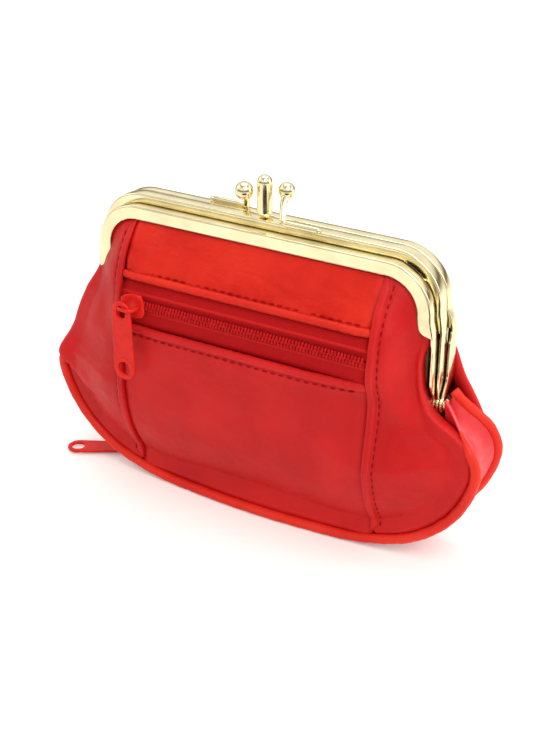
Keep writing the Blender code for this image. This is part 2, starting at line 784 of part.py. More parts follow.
def build_cord(name, rail, sign):
    """Paper cord that wedges the leather in the channel."""
    path = [spot for spot in rail_path(rail) if spot[1] > FLANGE_TAPER_Z]
    line = inset(path, [RAIL_WALL / 2 + 3 * GAP] * len(path))
    line[-1] = (0.0, line[-1][1])
    whole = line + [(-x, z) for x, z in reversed(line[:-1])]
    y = sign * (PANEL_ROOT_Y - LEATHER - GAP - CORD_RADIUS)
    return finish(tube(name, [Vector((x, y, z)) for x, z in whole], CORD_RADIUS, 1), PAPER)


# Zips


def build_bead(name, y, z, half_length, radius, look):
    points = [Vector((half_length * (step / 6 - 1), y, z)) for step in range(13)]
    return finish(tube(name, points, radius), look)


def build_tape(name, start, end):
    """One tape between two (y, z) points, from seam to seam."""
    half = SEAM_X - GAP

    def place(across, up):
        y = start[0] + (end[0] - start[0]) * up
        return Vector((half * (2 * across - 1), y, start[1] + (end[1] - start[1]) * up))

    return finish(slab(name, 1, 1, place, Vector((0, TAPE_WALL, 0))), ZIP_RED)


def build_front_zip():
    """Two tapes that lean with the leather, a row of coils on each, and a rolled welt over each far edge."""
    half = SEAM_X - GAP
    edge = COIL_APART - COIL_RADIUS
    visible = panel_edges(FRONT_RAIL)[1]
    build_bead("zip_coil_lower", COIL_Y, ZIP_Z - COIL_APART, half, COIL_RADIUS, ZIP_RED)
    build_bead("zip_coil_upper", COIL_Y, ZIP_Z + COIL_APART, half, COIL_RADIUS, ZIP_RED)
    for word, near_z, welt_z, look in (
        ("lower", ZIP_Z - edge, ZIP_OPEN_LOW - WELT_RADIUS, LEATHER_RED),
        ("upper", ZIP_Z + edge, ZIP_OPEN_HIGH + WELT_RADIUS, LEATHER_BRIGHT),
    ):
        welt_y = WELT_RADIUS / 2 - panel_y(0.0, welt_z, visible, FRONT_BULGE_Y)
        tape_y = max(welt_y + WELT_RADIUS + GAP, TAPE_Y)
        build_tape(f"zip_tape_{word}", (TAPE_Y, near_z), (tape_y, welt_z))
        build_bead(f"{word}_welt", welt_y, welt_z, half, WELT_RADIUS, look)


def build_slider(name, origin, outward, across):
    """A slider plate with its crown; origin is on the zip's face, outward points away from it."""
    plate_near = GAP
    plate_far = plate_near + SLIDER_WALL
    half = SLIDER_LENGTH / 2
    bm = bmesh.new()
    bmesh.ops.create_cube(bm, size=1.0)
    for vert in bm.verts:
        taper = SLIDER_TAIL_SHARE if vert.co.x < 0 else 1.0
        width = SLIDER_WIDTH * taper
        along = Vector((1, 0, 0)) * (vert.co.x * SLIDER_LENGTH)
        out = outward * (plate_near + (vert.co.y + 0.5) * SLIDER_WALL)
        vert.co = along + out + across * (vert.co.z * width)
    bmesh.ops.recalc_face_normals(bm, faces=bm.faces)
    obj = mesh_object(name, bm)
    bevel(obj, SLIDER_WALL / 3)
    rise = plate_far + GAP + LINK_RADIUS + LINK_WIRE
    start = -half + 2 * CROWN_RADIUS
    end = half - 3 * CROWN_RADIUS
    foot = plate_far - SLIDER_WALL / 2
    shape = [
        (start, foot), (start, rise - 2 * CROWN_RADIUS), (start + CROWN_RADIUS, rise),
        (end - 2 * CROWN_RADIUS, rise), (end, rise - 2 * CROWN_RADIUS), (end, foot),
    ]
    points = [Vector((x, 0, 0)) + outward * depth for x, depth in shape]
    crown = cutter(tube(f"{name}_crown", points, CROWN_RADIUS))
    combine(obj, crown, "UNION")
    obj.location = origin
    crown.location = origin
    finish(obj, RED_METAL)
    return origin + outward * rise + Vector((start + LINK_FROM_CROWN_END, 0, 0))


def tab_outline(width, neck):
    """The strap's edge as (across, down) points: a rounded neck and a rounder free end."""
    turns = [math.pi / 2 * step / TAB_CORNER_STEPS for step in range(TAB_CORNER_STEPS + 1)]
    spread = (width - TAB_NECK) / 2
    half = [
        (TAB_NECK / 2 + spread * math.sin(turn), neck + TAB_SHOULDER * (1 - math.cos(turn)))
        for turn in turns
    ]
    half += [
        (width / 2 - TAB_CORNER * (1 - math.cos(turn)), TAB_LENGTH - TAB_CORNER * (1 - math.sin(turn)))
        for turn in turns
    ]
    return half + [(-x, z) for x, z in reversed(half)]


def oval_cutter(name, middle, across, down, normal):
    """The tab's oval hole, longer along the strap than across it."""
    bm = bmesh.new()
    bmesh.ops.create_cone(bm, cap_ends=True, segments=ROUND_STEPS, radius1=1.0, radius2=1.0, depth=2.0)
    for vert in bm.verts:
        sideways = across * (vert.co.x * TAB_HOLE_HALF_WIDTH)
        lengthways = down * (vert.co.y * TAB_HOLE_HALF_LENGTH)
        vert.co = middle + sideways + lengthways - normal * (vert.co.z * (TAB_WALL + OVERRUN))
    return cutter(mesh_object(name, bm))


def build_tab(name, pivot, down, across, width, neck, drop, turn):
    """A flat pull with its link ring; down points from the ring to the free end, drop shifts the plate."""
    normal = down.cross(across)
    bpy.ops.mesh.primitive_torus_add(
        major_segments=ROUND_STEPS, minor_segments=8, major_radius=LINK_RADIUS, minor_radius=LINK_WIRE
    )
    link = bpy.context.active_object
    link.name = f"{name}_link"
    for home in list(link.users_collection):
        home.objects.unlink(link)
    link.rotation_euler = (0, math.pi / 2, turn)
    link.location = pivot
    cutter(link)
    outline = tab_outline(width, neck)
    bm = bmesh.new()
    verts = [bm.verts.new(across * x + down * z + normal * (TAB_WALL / 2)) for x, z in outline]
    face = bm.faces.new(verts)
    made = bmesh.ops.extrude_face_region(bm, geom=[face])
    moved = [item for item in made["geom"] if isinstance(item, bmesh.types.BMVert)]
    bmesh.ops.translate(bm, verts=moved, vec=-normal * TAB_WALL)
    bmesh.ops.recalc_face_normals(bm, faces=bm.faces)
    obj = mesh_object(name, bm)
    bevel(obj, TAB_WALL / 4)
    obj.location = pivot + drop
    middle = pivot + drop + down * (TAB_LENGTH - TAB_HOLE_FROM_END)
    combine(obj, oval_cutter(f"{name}_hole", middle, across, down, normal), "DIFFERENCE")
    combine(obj, link, "UNION")
    return finish(obj, RED_METAL)


def build_floor_zip():
    half = FLOOR_ZIP_HALF_LENGTH - GAP
    tape_z = FLOOR_COIL_Z + COIL_RADIUS + GAP
    tape = box(
        "bottom_zip_tape", (-half, FLOOR_ZIP_Y - FLOOR_TAPE_HALF_WIDTH, tape_z),
        (half, FLOOR_ZIP_Y + FLOOR_TAPE_HALF_WIDTH, tape_z + TAPE_WALL),
    )
    finish(tape, ZIP_RED)
    build_bead("bottom_zip_coil", FLOOR_ZIP_Y, FLOOR_COIL_Z, half, COIL_RADIUS, ZIP_RED)


def build_purse():
    front = build_rail("front_frame", FRONT_RAIL)
    cut_corner_slots(front, FRONT_RAIL)
    finish(front, METAL)
    finish(build_rail("middle_frame", MIDDLE_RAIL), METAL)
    finish(build_rail("back_frame", BACK_RAIL), METAL)
    build_rivet("hinge_rivet_right", 1)
    build_rivet("hinge_rivet_left", -1)
    build_post()
    build_front_clasp()
    build_back_clasp()
    build_cord("front_frame_cord", FRONT_RAIL, -1)
    build_cord("back_frame_cord", BACK_RAIL, 1)
    for word, rail, sign, bulge, depth in (
        ("front", FRONT_RAIL, -1, FRONT_BULGE_Y, FRONT_LINING_DEPTH),
        ("back", BACK_RAIL, 1, BACK_BULGE_Y, BACK_LINING_DEPTH),
    ):
        build_side_panel(f"{word}_side_right", rail, sign, 1, bulge)
        build_side_panel(f"{word}_side_left", rail, sign, -1, bulge)
        build_lining(f"{word}_lining", rail, sign, bulge, depth)
        build_piping(f"{word}_piping", sign)
        build_floor_gusset(f"gusset_bottom_{word}", sign)
    welt = 2 * WELT_RADIUS + GAP
    build_centre_panel(
        "front_centre_bottom", FRONT_RAIL, -1, FRONT_BULGE_Y, None, ZIP_OPEN_LOW - welt, LEATHER_RED
    )
    build_centre_panel(
        "front_centre_top", FRONT_RAIL, -1, FRONT_BULGE_Y, ZIP_OPEN_HIGH + welt, None, LEATHER_BRIGHT
    )
    build_centre_panel("back_centre", BACK_RAIL, 1, BACK_BULGE_Y, None, None, LEATHER_RED)
    build_side_gusset("gusset_right", 1)
    build_side_gusset("gusset_left", -1)
    build_divider()
    build_front_zip()
    build_floor_zip()
    slider_face = Vector((SLIDER_X, COIL_Y - COIL_RADIUS, ZIP_Z))
    pivot = build_slider("zip_slider", slider_face, Vector((0, -1, 0)), Vector((0, 0, 1)))
    print("zip tab pivot", tuple(round(value, 5) for value in pivot))
    build_tab(
        "zip_pull_tab", pivot, Vector((0, 0, -1)), Vector((1, 0, 0)), TAB_WIDTH,
        LINK_RADIUS - LINK_WIRE / 2, Vector(), 0.0,
    )
    floor_x = FLOOR_SLIDER_FROM_END - FLOOR_ZIP_HALF_LENGTH
    floor_face = Vector((floor_x, FLOOR_ZIP_Y, FLOOR_COIL_Z - COIL_RADIUS))
    pivot = build_slider("bottom_slider", floor_face, Vector((0, 0, -1)), Vector((0, 1, 0)))
    print("bottom tab pivot", tuple(round(value, 5) for value in pivot))
    away = Vector((-math.cos(FLOOR_TAB_TURN), -math.sin(FLOOR_TAB_TURN), 0))
    side = Vector((-away.y, away.x, 0))
    drop = Vector((0, 0, FLOOR_TAB_LOW + TAB_WALL / 2 - pivot.z))
    build_tab("bottom_pull_tab", pivot, away, side, FLOOR_TAB_WIDTH, -2 * LINK_WIRE, drop, FLOOR_TAB_TURN)


clear_scene()
PURSE = collection("frame_coin_purse")
CUTTERS = collection("cutters", hidden=True)
build_purse()
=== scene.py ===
"""The looks of the frame coin purse: soft leather panels, stitches, zips, metal and the studio."""

import math

import bmesh
import bpy
import numpy as np
from mathutils import Matrix, Vector


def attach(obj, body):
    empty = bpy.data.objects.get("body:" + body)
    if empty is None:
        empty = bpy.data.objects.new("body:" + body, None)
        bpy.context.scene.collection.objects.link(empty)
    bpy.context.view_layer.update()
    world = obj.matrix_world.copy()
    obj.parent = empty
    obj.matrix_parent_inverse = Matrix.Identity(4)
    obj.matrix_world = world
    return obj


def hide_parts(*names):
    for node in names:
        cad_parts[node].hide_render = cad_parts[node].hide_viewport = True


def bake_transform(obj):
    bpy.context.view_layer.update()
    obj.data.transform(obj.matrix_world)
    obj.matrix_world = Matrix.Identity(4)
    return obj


MM = 0.001

# Outlines of the two faces in mm, right half, from the middle of the bottom to the middle of the top
LOWER_EDGE = (
    (0.00, 3.95), (9.39, 3.93), (20.03, 3.95), (25.69, 4.02), (29.82, 4.24), (33.89, 4.74), (37.84, 5.55),
    (42.20, 6.73), (46.35, 8.27), (49.93, 10.28), (53.21, 12.71), (56.20, 15.51), (58.75, 18.60),
    (60.83, 21.98), (62.44, 25.52), (63.55, 28.90), (64.05, 32.09), (63.60, 35.50),
)
PINCHED_SHOULDER = (
    (63.00, 38.30), (61.20, 40.40), (58.10, 42.10), (54.60, 43.80), (51.40, 46.40), (49.70, 50.60),
    (49.00, 55.60), (48.70, 62.00),
)
# The front's left edge hangs over the end of the piping; the back's edges run in sooner to the rail
LOOSE_SHOULDER = (
    (65.90, 33.60), (66.20, 35.40), (64.90, 38.20), (62.50, 42.00), (60.30, 46.00),
    (58.90, 49.60), (57.60, 52.60),
    (55.40, 56.90), (52.90, 61.40), (50.60, 65.60), (49.40, 68.60),
)
BACK_SHOULDER = (
    (63.00, 38.20), (61.90, 41.20), (60.10, 44.60), (57.90, 48.20), (55.60, 52.00), (53.60, 56.90),
    (51.90, 61.40), (49.90, 65.60),
)
FRONT_TOP_EDGE = (
    (48.70, 68.60), (47.84, 71.58), (46.87, 74.22), (46.12, 76.06), (44.96, 77.75), (43.55, 79.16),
    (41.86, 80.22), (39.98, 80.88), (37.94, 81.30), (19.00, 81.40), (0.00, 81.40),
)
BACK_TOP_EDGE = (
    (49.40, 68.60), (48.32, 73.03), (47.76, 75.83), (46.97, 77.78), (45.85, 79.56), (44.36, 81.05),
    (42.58, 82.17), (40.59, 82.86), (38.44, 83.30), (19.25, 83.40), (0.00, 83.40),
)
PIPING_LINE = (
    (0.00, 1.20), (9.39, 1.18), (20.04, 1.20), (25.78, 1.27), (30.06, 1.50), (34.33, 2.03), (38.48, 2.88),
    (43.04, 4.11), (47.49, 5.77), (51.42, 7.97), (54.98, 10.60), (58.20, 13.63), (60.99, 17.00),
    (63.26, 20.69), (65.00, 24.52), (66.22, 28.25), (66.80, 31.98), (66.00, 35.60), (63.80, 39.20),
    (60.90, 42.60), (58.20, 45.60), (56.30, 47.80), (55.10, 49.00),
)
GUSSET_CENTRE = (
    (47.83, 4.76), (54.31, 11.21), (59.32, 18.01), (62.39, 25.48), (63.33, 31.98), (61.32, 37.01),
    (57.78, 40.01), (54.91, 40.98),
)
DIVIDER_EDGE = (
    (44.0, 7.2), (50.5, 13.6), (55.5, 20.3), (58.3, 26.5), (57.1, 36.4), (53.4, 38.9), (50.0, 40.3),
    (48.6, 42.9), (48.6, 68.6), (48.0, 77.1), (45.4, 81.9), (41.4, 85.1), (37.4, 86.3),
)
LINING_EDGE = (
    (37.4, 8.0), (45.4, 13.8), (52.8, 20.7), (56.8, 29.9), (55.4, 37.9), (50.8, 42.5), (46.5, 46.0),
    (46.5, 65.5),
)

# Sizes in mm
SEAM_X = 38.0
FOLD_HEIGHT = 0.95
FOLD_VALLEY = 0.26
LEATHER = 0.9
PANEL_WALL = LEATHER * 0.8
BULGE = {"front": 16.5, "back": 19.0}
BULGE_REACH = 37.0
BULGE_POWER = 2.87
PANEL_ROOT = 4.85
CHANNEL_Z = 66.0
PIPING_RADIUS = 1.4
PIPING_SIDE_Y = 7.5
PIPING_SWELL = 2.5
SWELL_WIDTH = 30.0
SWELL_HEIGHT = 15.0
PIPING_TOP_LEFT = 35.6
PIPING_TOP_RIGHT = 43.0
PIPING_TUCK = 1.2
WELT_RADIUS = 1.2
ZIP_Z = 61.3
ZIP_HALF = 37.9
ZIP_OPEN_LOW = 54.5
ZIP_OPEN_HIGH = 66.8
LOWER_WELT_Z = ZIP_OPEN_LOW - WELT_RADIUS
UPPER_WELT_Z = ZIP_OPEN_HIGH + WELT_RADIUS
WELT_STITCH_GAP = 1.75
TAPE_Y = -15.15
TAPE_WALL = 0.4
TOOTH_Y = -15.9
TOOTH_APART = 0.55
TOOTH_PITCH = 0.95
FLOOR_ZIP_HALF = 45.7
FLOOR_ZIP_Y = 1.7
HINGE_Z = 46.0
GATHER = 0.60
GATHER_PINCHED = 0.22
GATHER_Z = 37.0
STITCH_RADIUS = 0.19
STITCH_OFFSET = 2.75
WELD = 1e-7
SIGNS = {"front": -1, "back": 1}
WORDS = {1: "right", -1: "left"}


# Helpers


def clamp(value, low=0.0, high=1.0):
    return np.minimum(np.maximum(value, low), high)


def ease(value):
    share = clamp(value)
    return share * share * (3 - 2 * share)


def hump(value, middle, width):
    return np.exp(-(((value - middle) / width) ** 2))


def arc(steps, whole=2 * math.pi, count=None):
    """Angles from 0 in even steps: so many steps make the whole, and count of the angles are given."""
    return [whole * step / steps for step in range(count or steps)]


def run_of(points):
    """The distance along a polyline at each of its points."""
    return np.concatenate([[0], np.cumsum(np.linalg.norm(np.diff(points, axis=0), axis=1))])


def points_at(spots, run, points):
    return np.stack([np.interp(spots, run, points[:, k]) for k in range(points.shape[1])], axis=1)


def evenly(points, count):
    run = run_of(points)
    return points_at(np.linspace(0, run[-1], count), run, points)


def curve_through(points, count):
    """Evenly spaced points on a smooth curve through the given ones."""
    pts = np.array(points, float)
    ends = np.vstack([2 * pts[0] - pts[1], pts, 2 * pts[-1] - pts[-2]])
    made = []
    steps = 12
    for i in range(len(pts) - 1):
        a, b, c, d = ends[i:i + 4]
        for step in range(steps):
            t = step / steps
            square = (2 * a - 5 * b + 4 * c - d) * t * t
            made.append(0.5 * (2 * b + (c - a) * t + square + (3 * b - a - 3 * c + d) * t ** 3))
    made.append(pts[-1])
    return evenly(np.array(made), count)


def directions(line):
    run = np.gradient(line, axis=0)
    return run / np.linalg.norm(run, axis=1, keepdims=True)


def edge_normal(line):
    """Unit normals of a line in the XZ plane, to the right of its run."""
    run = directions(line)
    return np.stack([run[:, 1], -run[:, 0]], axis=1)


def depth_inside(line, x, z):
    """Distance of points from a polyline, negative to its right, for arrays of any shape."""
    spot = np.stack([x, z], axis=-1)[..., None, :]
    start = line[:-1]
    run = line[1:] - line[:-1]
    share = clamp(((spot - start) * run).sum(-1) / (run * run).sum(-1))
    gap = spot - start - run * share[..., None]
    away = np.linalg.norm(gap, axis=-1)
    side = run[:, 0] * (spot[..., 1] - start[:, 1]) - run[:, 1] * (spot[..., 0] - start[:, 0])
    index = away.argmin(-1)[..., None]
    least = np.take_along_axis(away, index, -1)[..., 0]
    turn = np.take_along_axis(side, index, -1)[..., 0]
    return np.where(turn < 0, -least, least)


def waves(x, z, seed, scale, count=7):
    """A smooth pattern of sines between about -1 and 1, the same on every run."""
    draw = np.random.RandomState(seed)
    total = np.zeros_like(x)
    for _ in range(count):
        angle = draw.uniform(0, math.pi)
        length = scale * draw.uniform(0.6, 1.6)
        phase = draw.uniform(0, 2 * math.pi)
        total = total + np.sin((x * math.cos(angle) + z * math.sin(angle)) * 2 * math.pi / length + phase)
    return total / math.sqrt(count)


EDGES = {
    ("front", 1): curve_through(LOWER_EDGE + PINCHED_SHOULDER + FRONT_TOP_EDGE, 150),
    ("front", -1): curve_through(LOWER_EDGE[:-1] + LOOSE_SHOULDER + FRONT_TOP_EDGE[1:], 150),
    ("back", 1): curve_through(LOWER_EDGE + BACK_SHOULDER + BACK_TOP_EDGE, 150),
}
EDGES["back", -1] = EDGES["back", 1]
PIPING = curve_through(PIPING_LINE, 110)


def piping_y(x, z, gather=GATHER):
    """The piping's distance from the middle plane: it swells at the bottom and gathers to the hinge."""
    swell = PIPING_SWELL * hump(x, 0, SWELL_WIDTH) * hump(z, 0, SWELL_HEIGHT)
    return (PIPING_SIDE_Y + swell) * (1 - gather * ease((z - GATHER_Z) / (HINGE_Z + 3 - GATHER_Z)))


def depth_in(face, x, z):
    """Distance inside the face's visible edge; the two sides of the front have different shoulders."""
    right = depth_inside(EDGES[face, 1], np.abs(x), z)
    left = depth_inside(EDGES[face, -1], np.abs(x), z)
    return np.where(x > 0, right, left)


def root_y(face, x, z):
    """Where the leather meets the piping, and further up the rail's channel."""
    gather = np.where(x > 0, GATHER_PINCHED, 0.0) if face == "front" else 0.0
    low = piping_y(x, z, gather) + LEATHER / 2
    return low + (PANEL_ROOT - low) * ease((z - CHANNEL_Z + 8) / 8)


def skin_y(face, x, z):
    """Outer face of the leather, as the distance from the middle plane."""
    away = clamp(depth_in(face, x, z) / BULGE_REACH)
    crown = PANEL_ROOT + (BULGE[face] - PANEL_ROOT) * (1 - (1 - away) ** BULGE_POWER)
    return np.maximum(root_y(face, x, z), crown)


def add_object(name, data):
    obj = bpy.data.objects.new(name, data)
    bpy.context.scene.collection.objects.link(obj)
    return obj


def dress_mesh(mesh, material):
    mesh.materials.clear()
    mesh.materials.append(material)
    for polygon in mesh.polygons:
        polygon.use_smooth = True
        polygon.material_index = 0


def mesh_from(name, verts, faces, material):
    """A smooth object with its points welded and its normals outward."""
    mesh = bpy.data.meshes.new(name)
    mesh.from_pydata([tuple(v) for v in verts], [], faces)
    mesh.validate()
    bm = bmesh.new()
    bm.from_mesh(mesh)
    bmesh.ops.remove_doubles(bm, verts=bm.verts, dist=WELD)
    bmesh.ops.recalc_face_normals(bm, faces=bm.faces)
    bm.to_mesh(mesh)
    bm.free()
    dress_mesh(mesh, material)
    return add_object(name, mesh)


def sphere_mesh(name, segments, rings, sizes, turn, centre):
    """A sphere stretched to three radii in mm, turned about Y and moved to its centre."""
    bm = bmesh.new()
    bmesh.ops.create_uvsphere(bm, u_segments=segments, v_segments=rings, radius=1.0)
    bmesh.ops.scale(bm, verts=bm.verts, vec=Vector(sizes) * MM)
    bmesh.ops.rotate(bm, verts=bm.verts, matrix=Matrix.Rotation(turn, 3, "Y"))
    bmesh.ops.translate(bm, verts=bm.verts, vec=Vector(centre) * MM)
    mesh = bpy.data.meshes.new(name)
    bm.to_mesh(mesh)
    bm.free()
    return mesh


def soften(piece, width, segments, degrees):
    soft = piece.modifiers.new("edges", "BEVEL")
    soft.width = width
    soft.segments = segments
    soft.limit_method = "ANGLE"
    soft.angle_limit = math.radians(degrees)


def grid_faces(rows, columns, offset=0, closed=False):
    faces = []
    for row in range(rows - 1):
        for column in range(columns if closed else columns - 1):
            after = (column + 1) % columns
            base = offset + row * columns
            faces.append((base + column, base + after, base + columns + after, base + columns + column))
    return faces


def capped_mesh(name, verts, sides, material):
    """A tube of rings with a flat cap at each end."""
    faces = grid_faces(len(verts) // sides, sides, closed=True)
    faces.append(tuple(range(sides)))
    faces.append(tuple(range(len(verts) - sides, len(verts))))
    return mesh_from(name, verts, faces, material)


def sheet_piece(name, x, y, z, material, wall, outward):
    """A thick sheet from arrays of coordinates in mm: its outer face, and its inner face wall mm behind."""
    outer = np.stack([x, y, z], axis=-1)
    rows, columns = x.shape
    normal = np.cross(np.gradient(outer, axis=1), np.gradient(outer, axis=0))
    normal = normal / np.maximum(np.linalg.norm(normal, axis=-1, keepdims=True), 1e-9)
    if (normal * np.array(outward)).sum() < 0:
        normal = -normal
    inner = outer - normal * wall
    verts = np.concatenate([outer.reshape(-1, 3), inner.reshape(-1, 3)]) * MM
    count = rows * columns
    faces = grid_faces(rows, columns)
    faces += [face[::-1] for face in grid_faces(rows, columns, count)]
    index = np.arange(count).reshape(rows, columns)
    ring = np.concatenate([index[0], index[1:, -1], index[-1, -2::-1], index[-2:0:-1, 0]]).tolist()
    faces += [(a, b, b + count, a + count) for a, b in zip(ring, ring[1:] + ring[:1])]
    return mesh_from(name, verts, faces, material)


def tube_piece(name, line, radii, material, sides):
    """A round tube in mm along a line."""
    pts = np.array(line, float)
    tangent = directions(pts)
    hint = np.array([0.0, 1.0, 0.0])
    if abs(tangent[len(pts) // 2] @ hint) > 0.8:
        hint = np.array([0.0, 0.0, 1.0])
    side = np.cross(tangent, hint)
    side /= np.linalg.norm(side, axis=1, keepdims=True)
    up = np.cross(side, tangent)
    verts = []
    for spot, a, b, radius in zip(pts, side, up, np.broadcast_to(radii, (len(pts),))):
        for turn in arc(sides):
            verts.append((spot + a * radius * math.cos(turn) + b * radius * math.sin(turn)) * MM)
    return capped_mesh(name, verts, sides, material)


def rows_of(name, spots, ways, length, radius, material, sides=8, rings=5, squash=1.0, outward=None):
    """Many small capsules in one mesh: stitches or zip teeth, each at a spot and along its way."""
    verts = []
    faces = []
    for spot, way in zip(spots, ways):
        axis = Vector(way).normalized()
        out = Vector(outward) if outward is not None else axis.orthogonal()
        side = axis.cross(out).normalized()
        out = side.cross(axis).normalized()
        base = len(verts)
        for ring in range(rings + 1):
            share = ring / rings
            along = (share - 0.5) * length
            girth = radius * math.sqrt(max(0.0, 1 - (2 * share - 1) ** 4)) + radius * 0.05
            for turn in arc(sides):
                offset = side * (girth * math.cos(turn)) + out * (girth * squash * math.sin(turn))
                verts.append((Vector(spot) + axis * along + offset) * MM)
        faces += grid_faces(rings + 1, sides, base, closed=True)
        faces.append(tuple(base + step for step in reversed(range(sides))))
        faces.append(tuple(base + rings * sides + step for step in range(sides)))
    return mesh_from(name, verts, faces, material)


def stitch_row(name, line, length, pitch):
    """Stitches along a line in mm, half sunk where the line lies on the skin."""
    run = run_of(line)
    middles = np.arange(1.0, run[-1] - length / 2, pitch)
    ways = points_at(middles + length / 2, run, line) - points_at(middles - length / 2, run, line)
    return rows_of(name, points_at(middles, run, line), ways, length, STITCH_RADIUS, THREAD)


# Materials


def feed(tree, node, inputs):
    """Links or sets inputs of a node, from a dict of their names or numbers."""
    for key, value in inputs.items():
        if isinstance(value, bpy.types.NodeSocket):
            tree.links.new(value, node.inputs[key])
        else:
            node.inputs[key].default_value = value


def add_node(tree, kind, inputs, **settings):
    node = tree.nodes.new(f"ShaderNode{kind}")
    for key, value in settings.items():
        setattr(node, key, value)
    feed(tree, node, inputs)
    return node


def new_material(name):
    material = bpy.data.materials.new(name)
    material.use_nodes = True
    tree = material.node_tree
    coords = add_node(tree, "TexCoord", {}).outputs["Object"]
    return material, tree, tree.nodes["Principled BSDF"], coords


def noise(tree, coords, scale, detail=3.0, roughness=0.5, stretch=None):
    if stretch is not None:
        coords = add_node(tree, "Mapping", {"Scale": stretch, "Vector": coords}).outputs["Vector"]
    inputs = {"Scale": scale, "Detail": detail, "Roughness": roughness, "Vector": coords}
    return add_node(tree, "TexNoise", inputs).outputs["Fac"]


def ramp(tree, value, stops):
    node = add_node(tree, "ValToRGB", {"Fac": value})
    elements = node.color_ramp.elements
    while len(elements) < len(stops):
        elements.new(0.5)
    for element, (spot, color) in zip(elements, stops):
        element.position = spot
        element.color = (*color, 1.0)
    return node.outputs["Color"]


def span(tree, value, low, high, out_low, out_high):
    inputs = {"Value": value, "From Min": low, "From Max": high, "To Min": out_low, "To Max": out_high}
    return add_node(tree, "MapRange", inputs).outputs["Result"]


def bump(tree, height, distance, strength, normal=None):
    inputs = {"Height": height, "Distance": distance, "Strength": strength}
    if normal is not None:
        inputs["Normal"] = normal
    return add_node(tree, "Bump", inputs).outputs["Normal"]


def reckon(tree, operation, *values):
    return add_node(tree, "Math", dict(enumerate(values)), operation=operation).outputs["Value"]


def tinted(tree, factor, color, tint):
    inputs = {"Factor": factor, "A": color, "B": (*tint, 1.0)}
    return add_node(tree, "Mix", inputs, data_type="RGBA").outputs["Result"]


def shaded(color, share):
    return tuple(c * share for c in color)


def leather(name, dark, base, light, roughness=0.42, grain=1.0, gloss=0.16, coat=0.03):
    """Smooth coated leather: soft tone changes, fine pebble grain, faint creases and lighter worn ridges."""
    material, tree, shader, coords = new_material(name)
    tone = noise(tree, coords, 60.0, 2.0, 0.45)
    color = ramp(tree, tone, ((0.2, dark), (0.5, base), (0.8, light)))
    ridge = add_node(tree, "NewGeometry", {}).outputs["Pointiness"]
    pale = [min(1.0, c * 1.35 + 0.03) for c in light]
    fine = noise(tree, coords, 700.0, 4.0, 0.6)
    cells = add_node(tree, "TexVoronoi", {"Scale": 1700.0, "Vector": coords}, feature="DISTANCE_TO_EDGE")
    pebble = span(tree, cells.outputs["Distance"], 0.0, 0.12, 0.0, 1.0)
    crease = noise(tree, coords, 300.0, 5.0, 0.55)
    fold = reckon(tree, "SUBTRACT", noise(tree, coords, 48.0, 4.0, 0.55, (1.0, 1.0, 1.8)), 0.5)
    crack = span(tree, reckon(tree, "ABSOLUTE", fold), 0.0, 0.055, 0.0, 1.0)
    normal = None
    for height, distance, strength in ((pebble, 0.00003, 0.5), (crease, 0.0001, 0.5), (crack, 0.00018, 0.28)):
        normal = bump(tree, height, distance * grain, strength, normal)
    feed(tree, shader, {
        "Base Color": tinted(tree, span(tree, ridge, 0.5, 0.56, 0.0, 0.22), color, pale),
        "Roughness": span(tree, fine, 0.3, 0.7, roughness - 0.06, roughness + 0.08),
        "Normal": normal,
        "Specular IOR Level": gloss,
        "Coat Weight": coat,
        "Coat Roughness": 0.30,
    })
    return material


def metal(name, base):
    """Polished plated brass with rounded edges, a soft cloudy tone and hairline scratches."""
    material, tree, shader, coords = new_material(name)
    cloud = noise(tree, coords, 140.0)
    scratch = noise(tree, coords, 260.0, 6.0, 0.7, (1.0, 9.0, 1.0))
    edge = add_node(tree, "Bevel", {"Radius": 0.00016}, samples=6).outputs["Normal"]
    feed(tree, shader, {
        "Base Color": ramp(tree, cloud, ((0.35, shaded(base, 0.86)), (0.62, base))),
        "Metallic": 1.0,
        "Roughness": span(tree, scratch, 0.35, 0.7, 0.10, 0.23),
        "Normal": bump(tree, scratch, 0.00002, 0.35, edge),
    })
    return material


def lacquer(name, base):
    """Red lacquer over metal: a clear glossy coat with a faint orange-peel ripple."""
    material, tree, shader, coords = new_material(name)
    tone = noise(tree, coords, 400.0, 2.0)
    feed(tree, shader, {
        "Base Color": ramp(tree, tone, ((0.3, shaded(base, 0.8)), (0.7, base))),
        "Roughness": 0.34,
        "Specular IOR Level": 0.12,
        "Coat Weight": 0.16,
        "Coat Roughness": 0.10,
        "Normal": bump(tree, noise(tree, coords, 900.0, 2.0), 0.00003, 0.4),
    })
    return material


def woven(name, dark, light, scale, edge_line=None):
    """Plain weave: two crossed bands of threads, with their height in the bump and painted shade darkening
    their gaps.
    """
    material, tree, shader, coords = new_material(name)
    inputs = {"Scale": scale, "Distortion": 0.6, "Detail": 1.0, "Vector": coords}
    bands = [add_node(tree, "TexWave", inputs, bands_direction=way).outputs["Fac"] for way in ("X", "Z")]
    threads = reckon(tree, "MULTIPLY", *bands)
    # Painted shade: the gaps between the threads are coloured darker
    color = ramp(tree, threads, ((0.05, dark), (0.75, light)))
    if edge_line is not None:
        line_at, half, tint = edge_line
        height = add_node(tree, "SeparateXYZ", {"Vector": coords}).outputs["Z"]
        away = reckon(tree, "ABSOLUTE", reckon(tree, "SUBTRACT", height, ZIP_Z * MM))
        color = tinted(tree, reckon(tree, "COMPARE", away, line_at, half), color, tint)
    feed(tree, shader, {
        "Base Color": color,
        "Roughness": 0.8,
        "Specular IOR Level": 0.15,
        "Normal": bump(tree, threads, 0.00008, 0.8),
    })
    return material


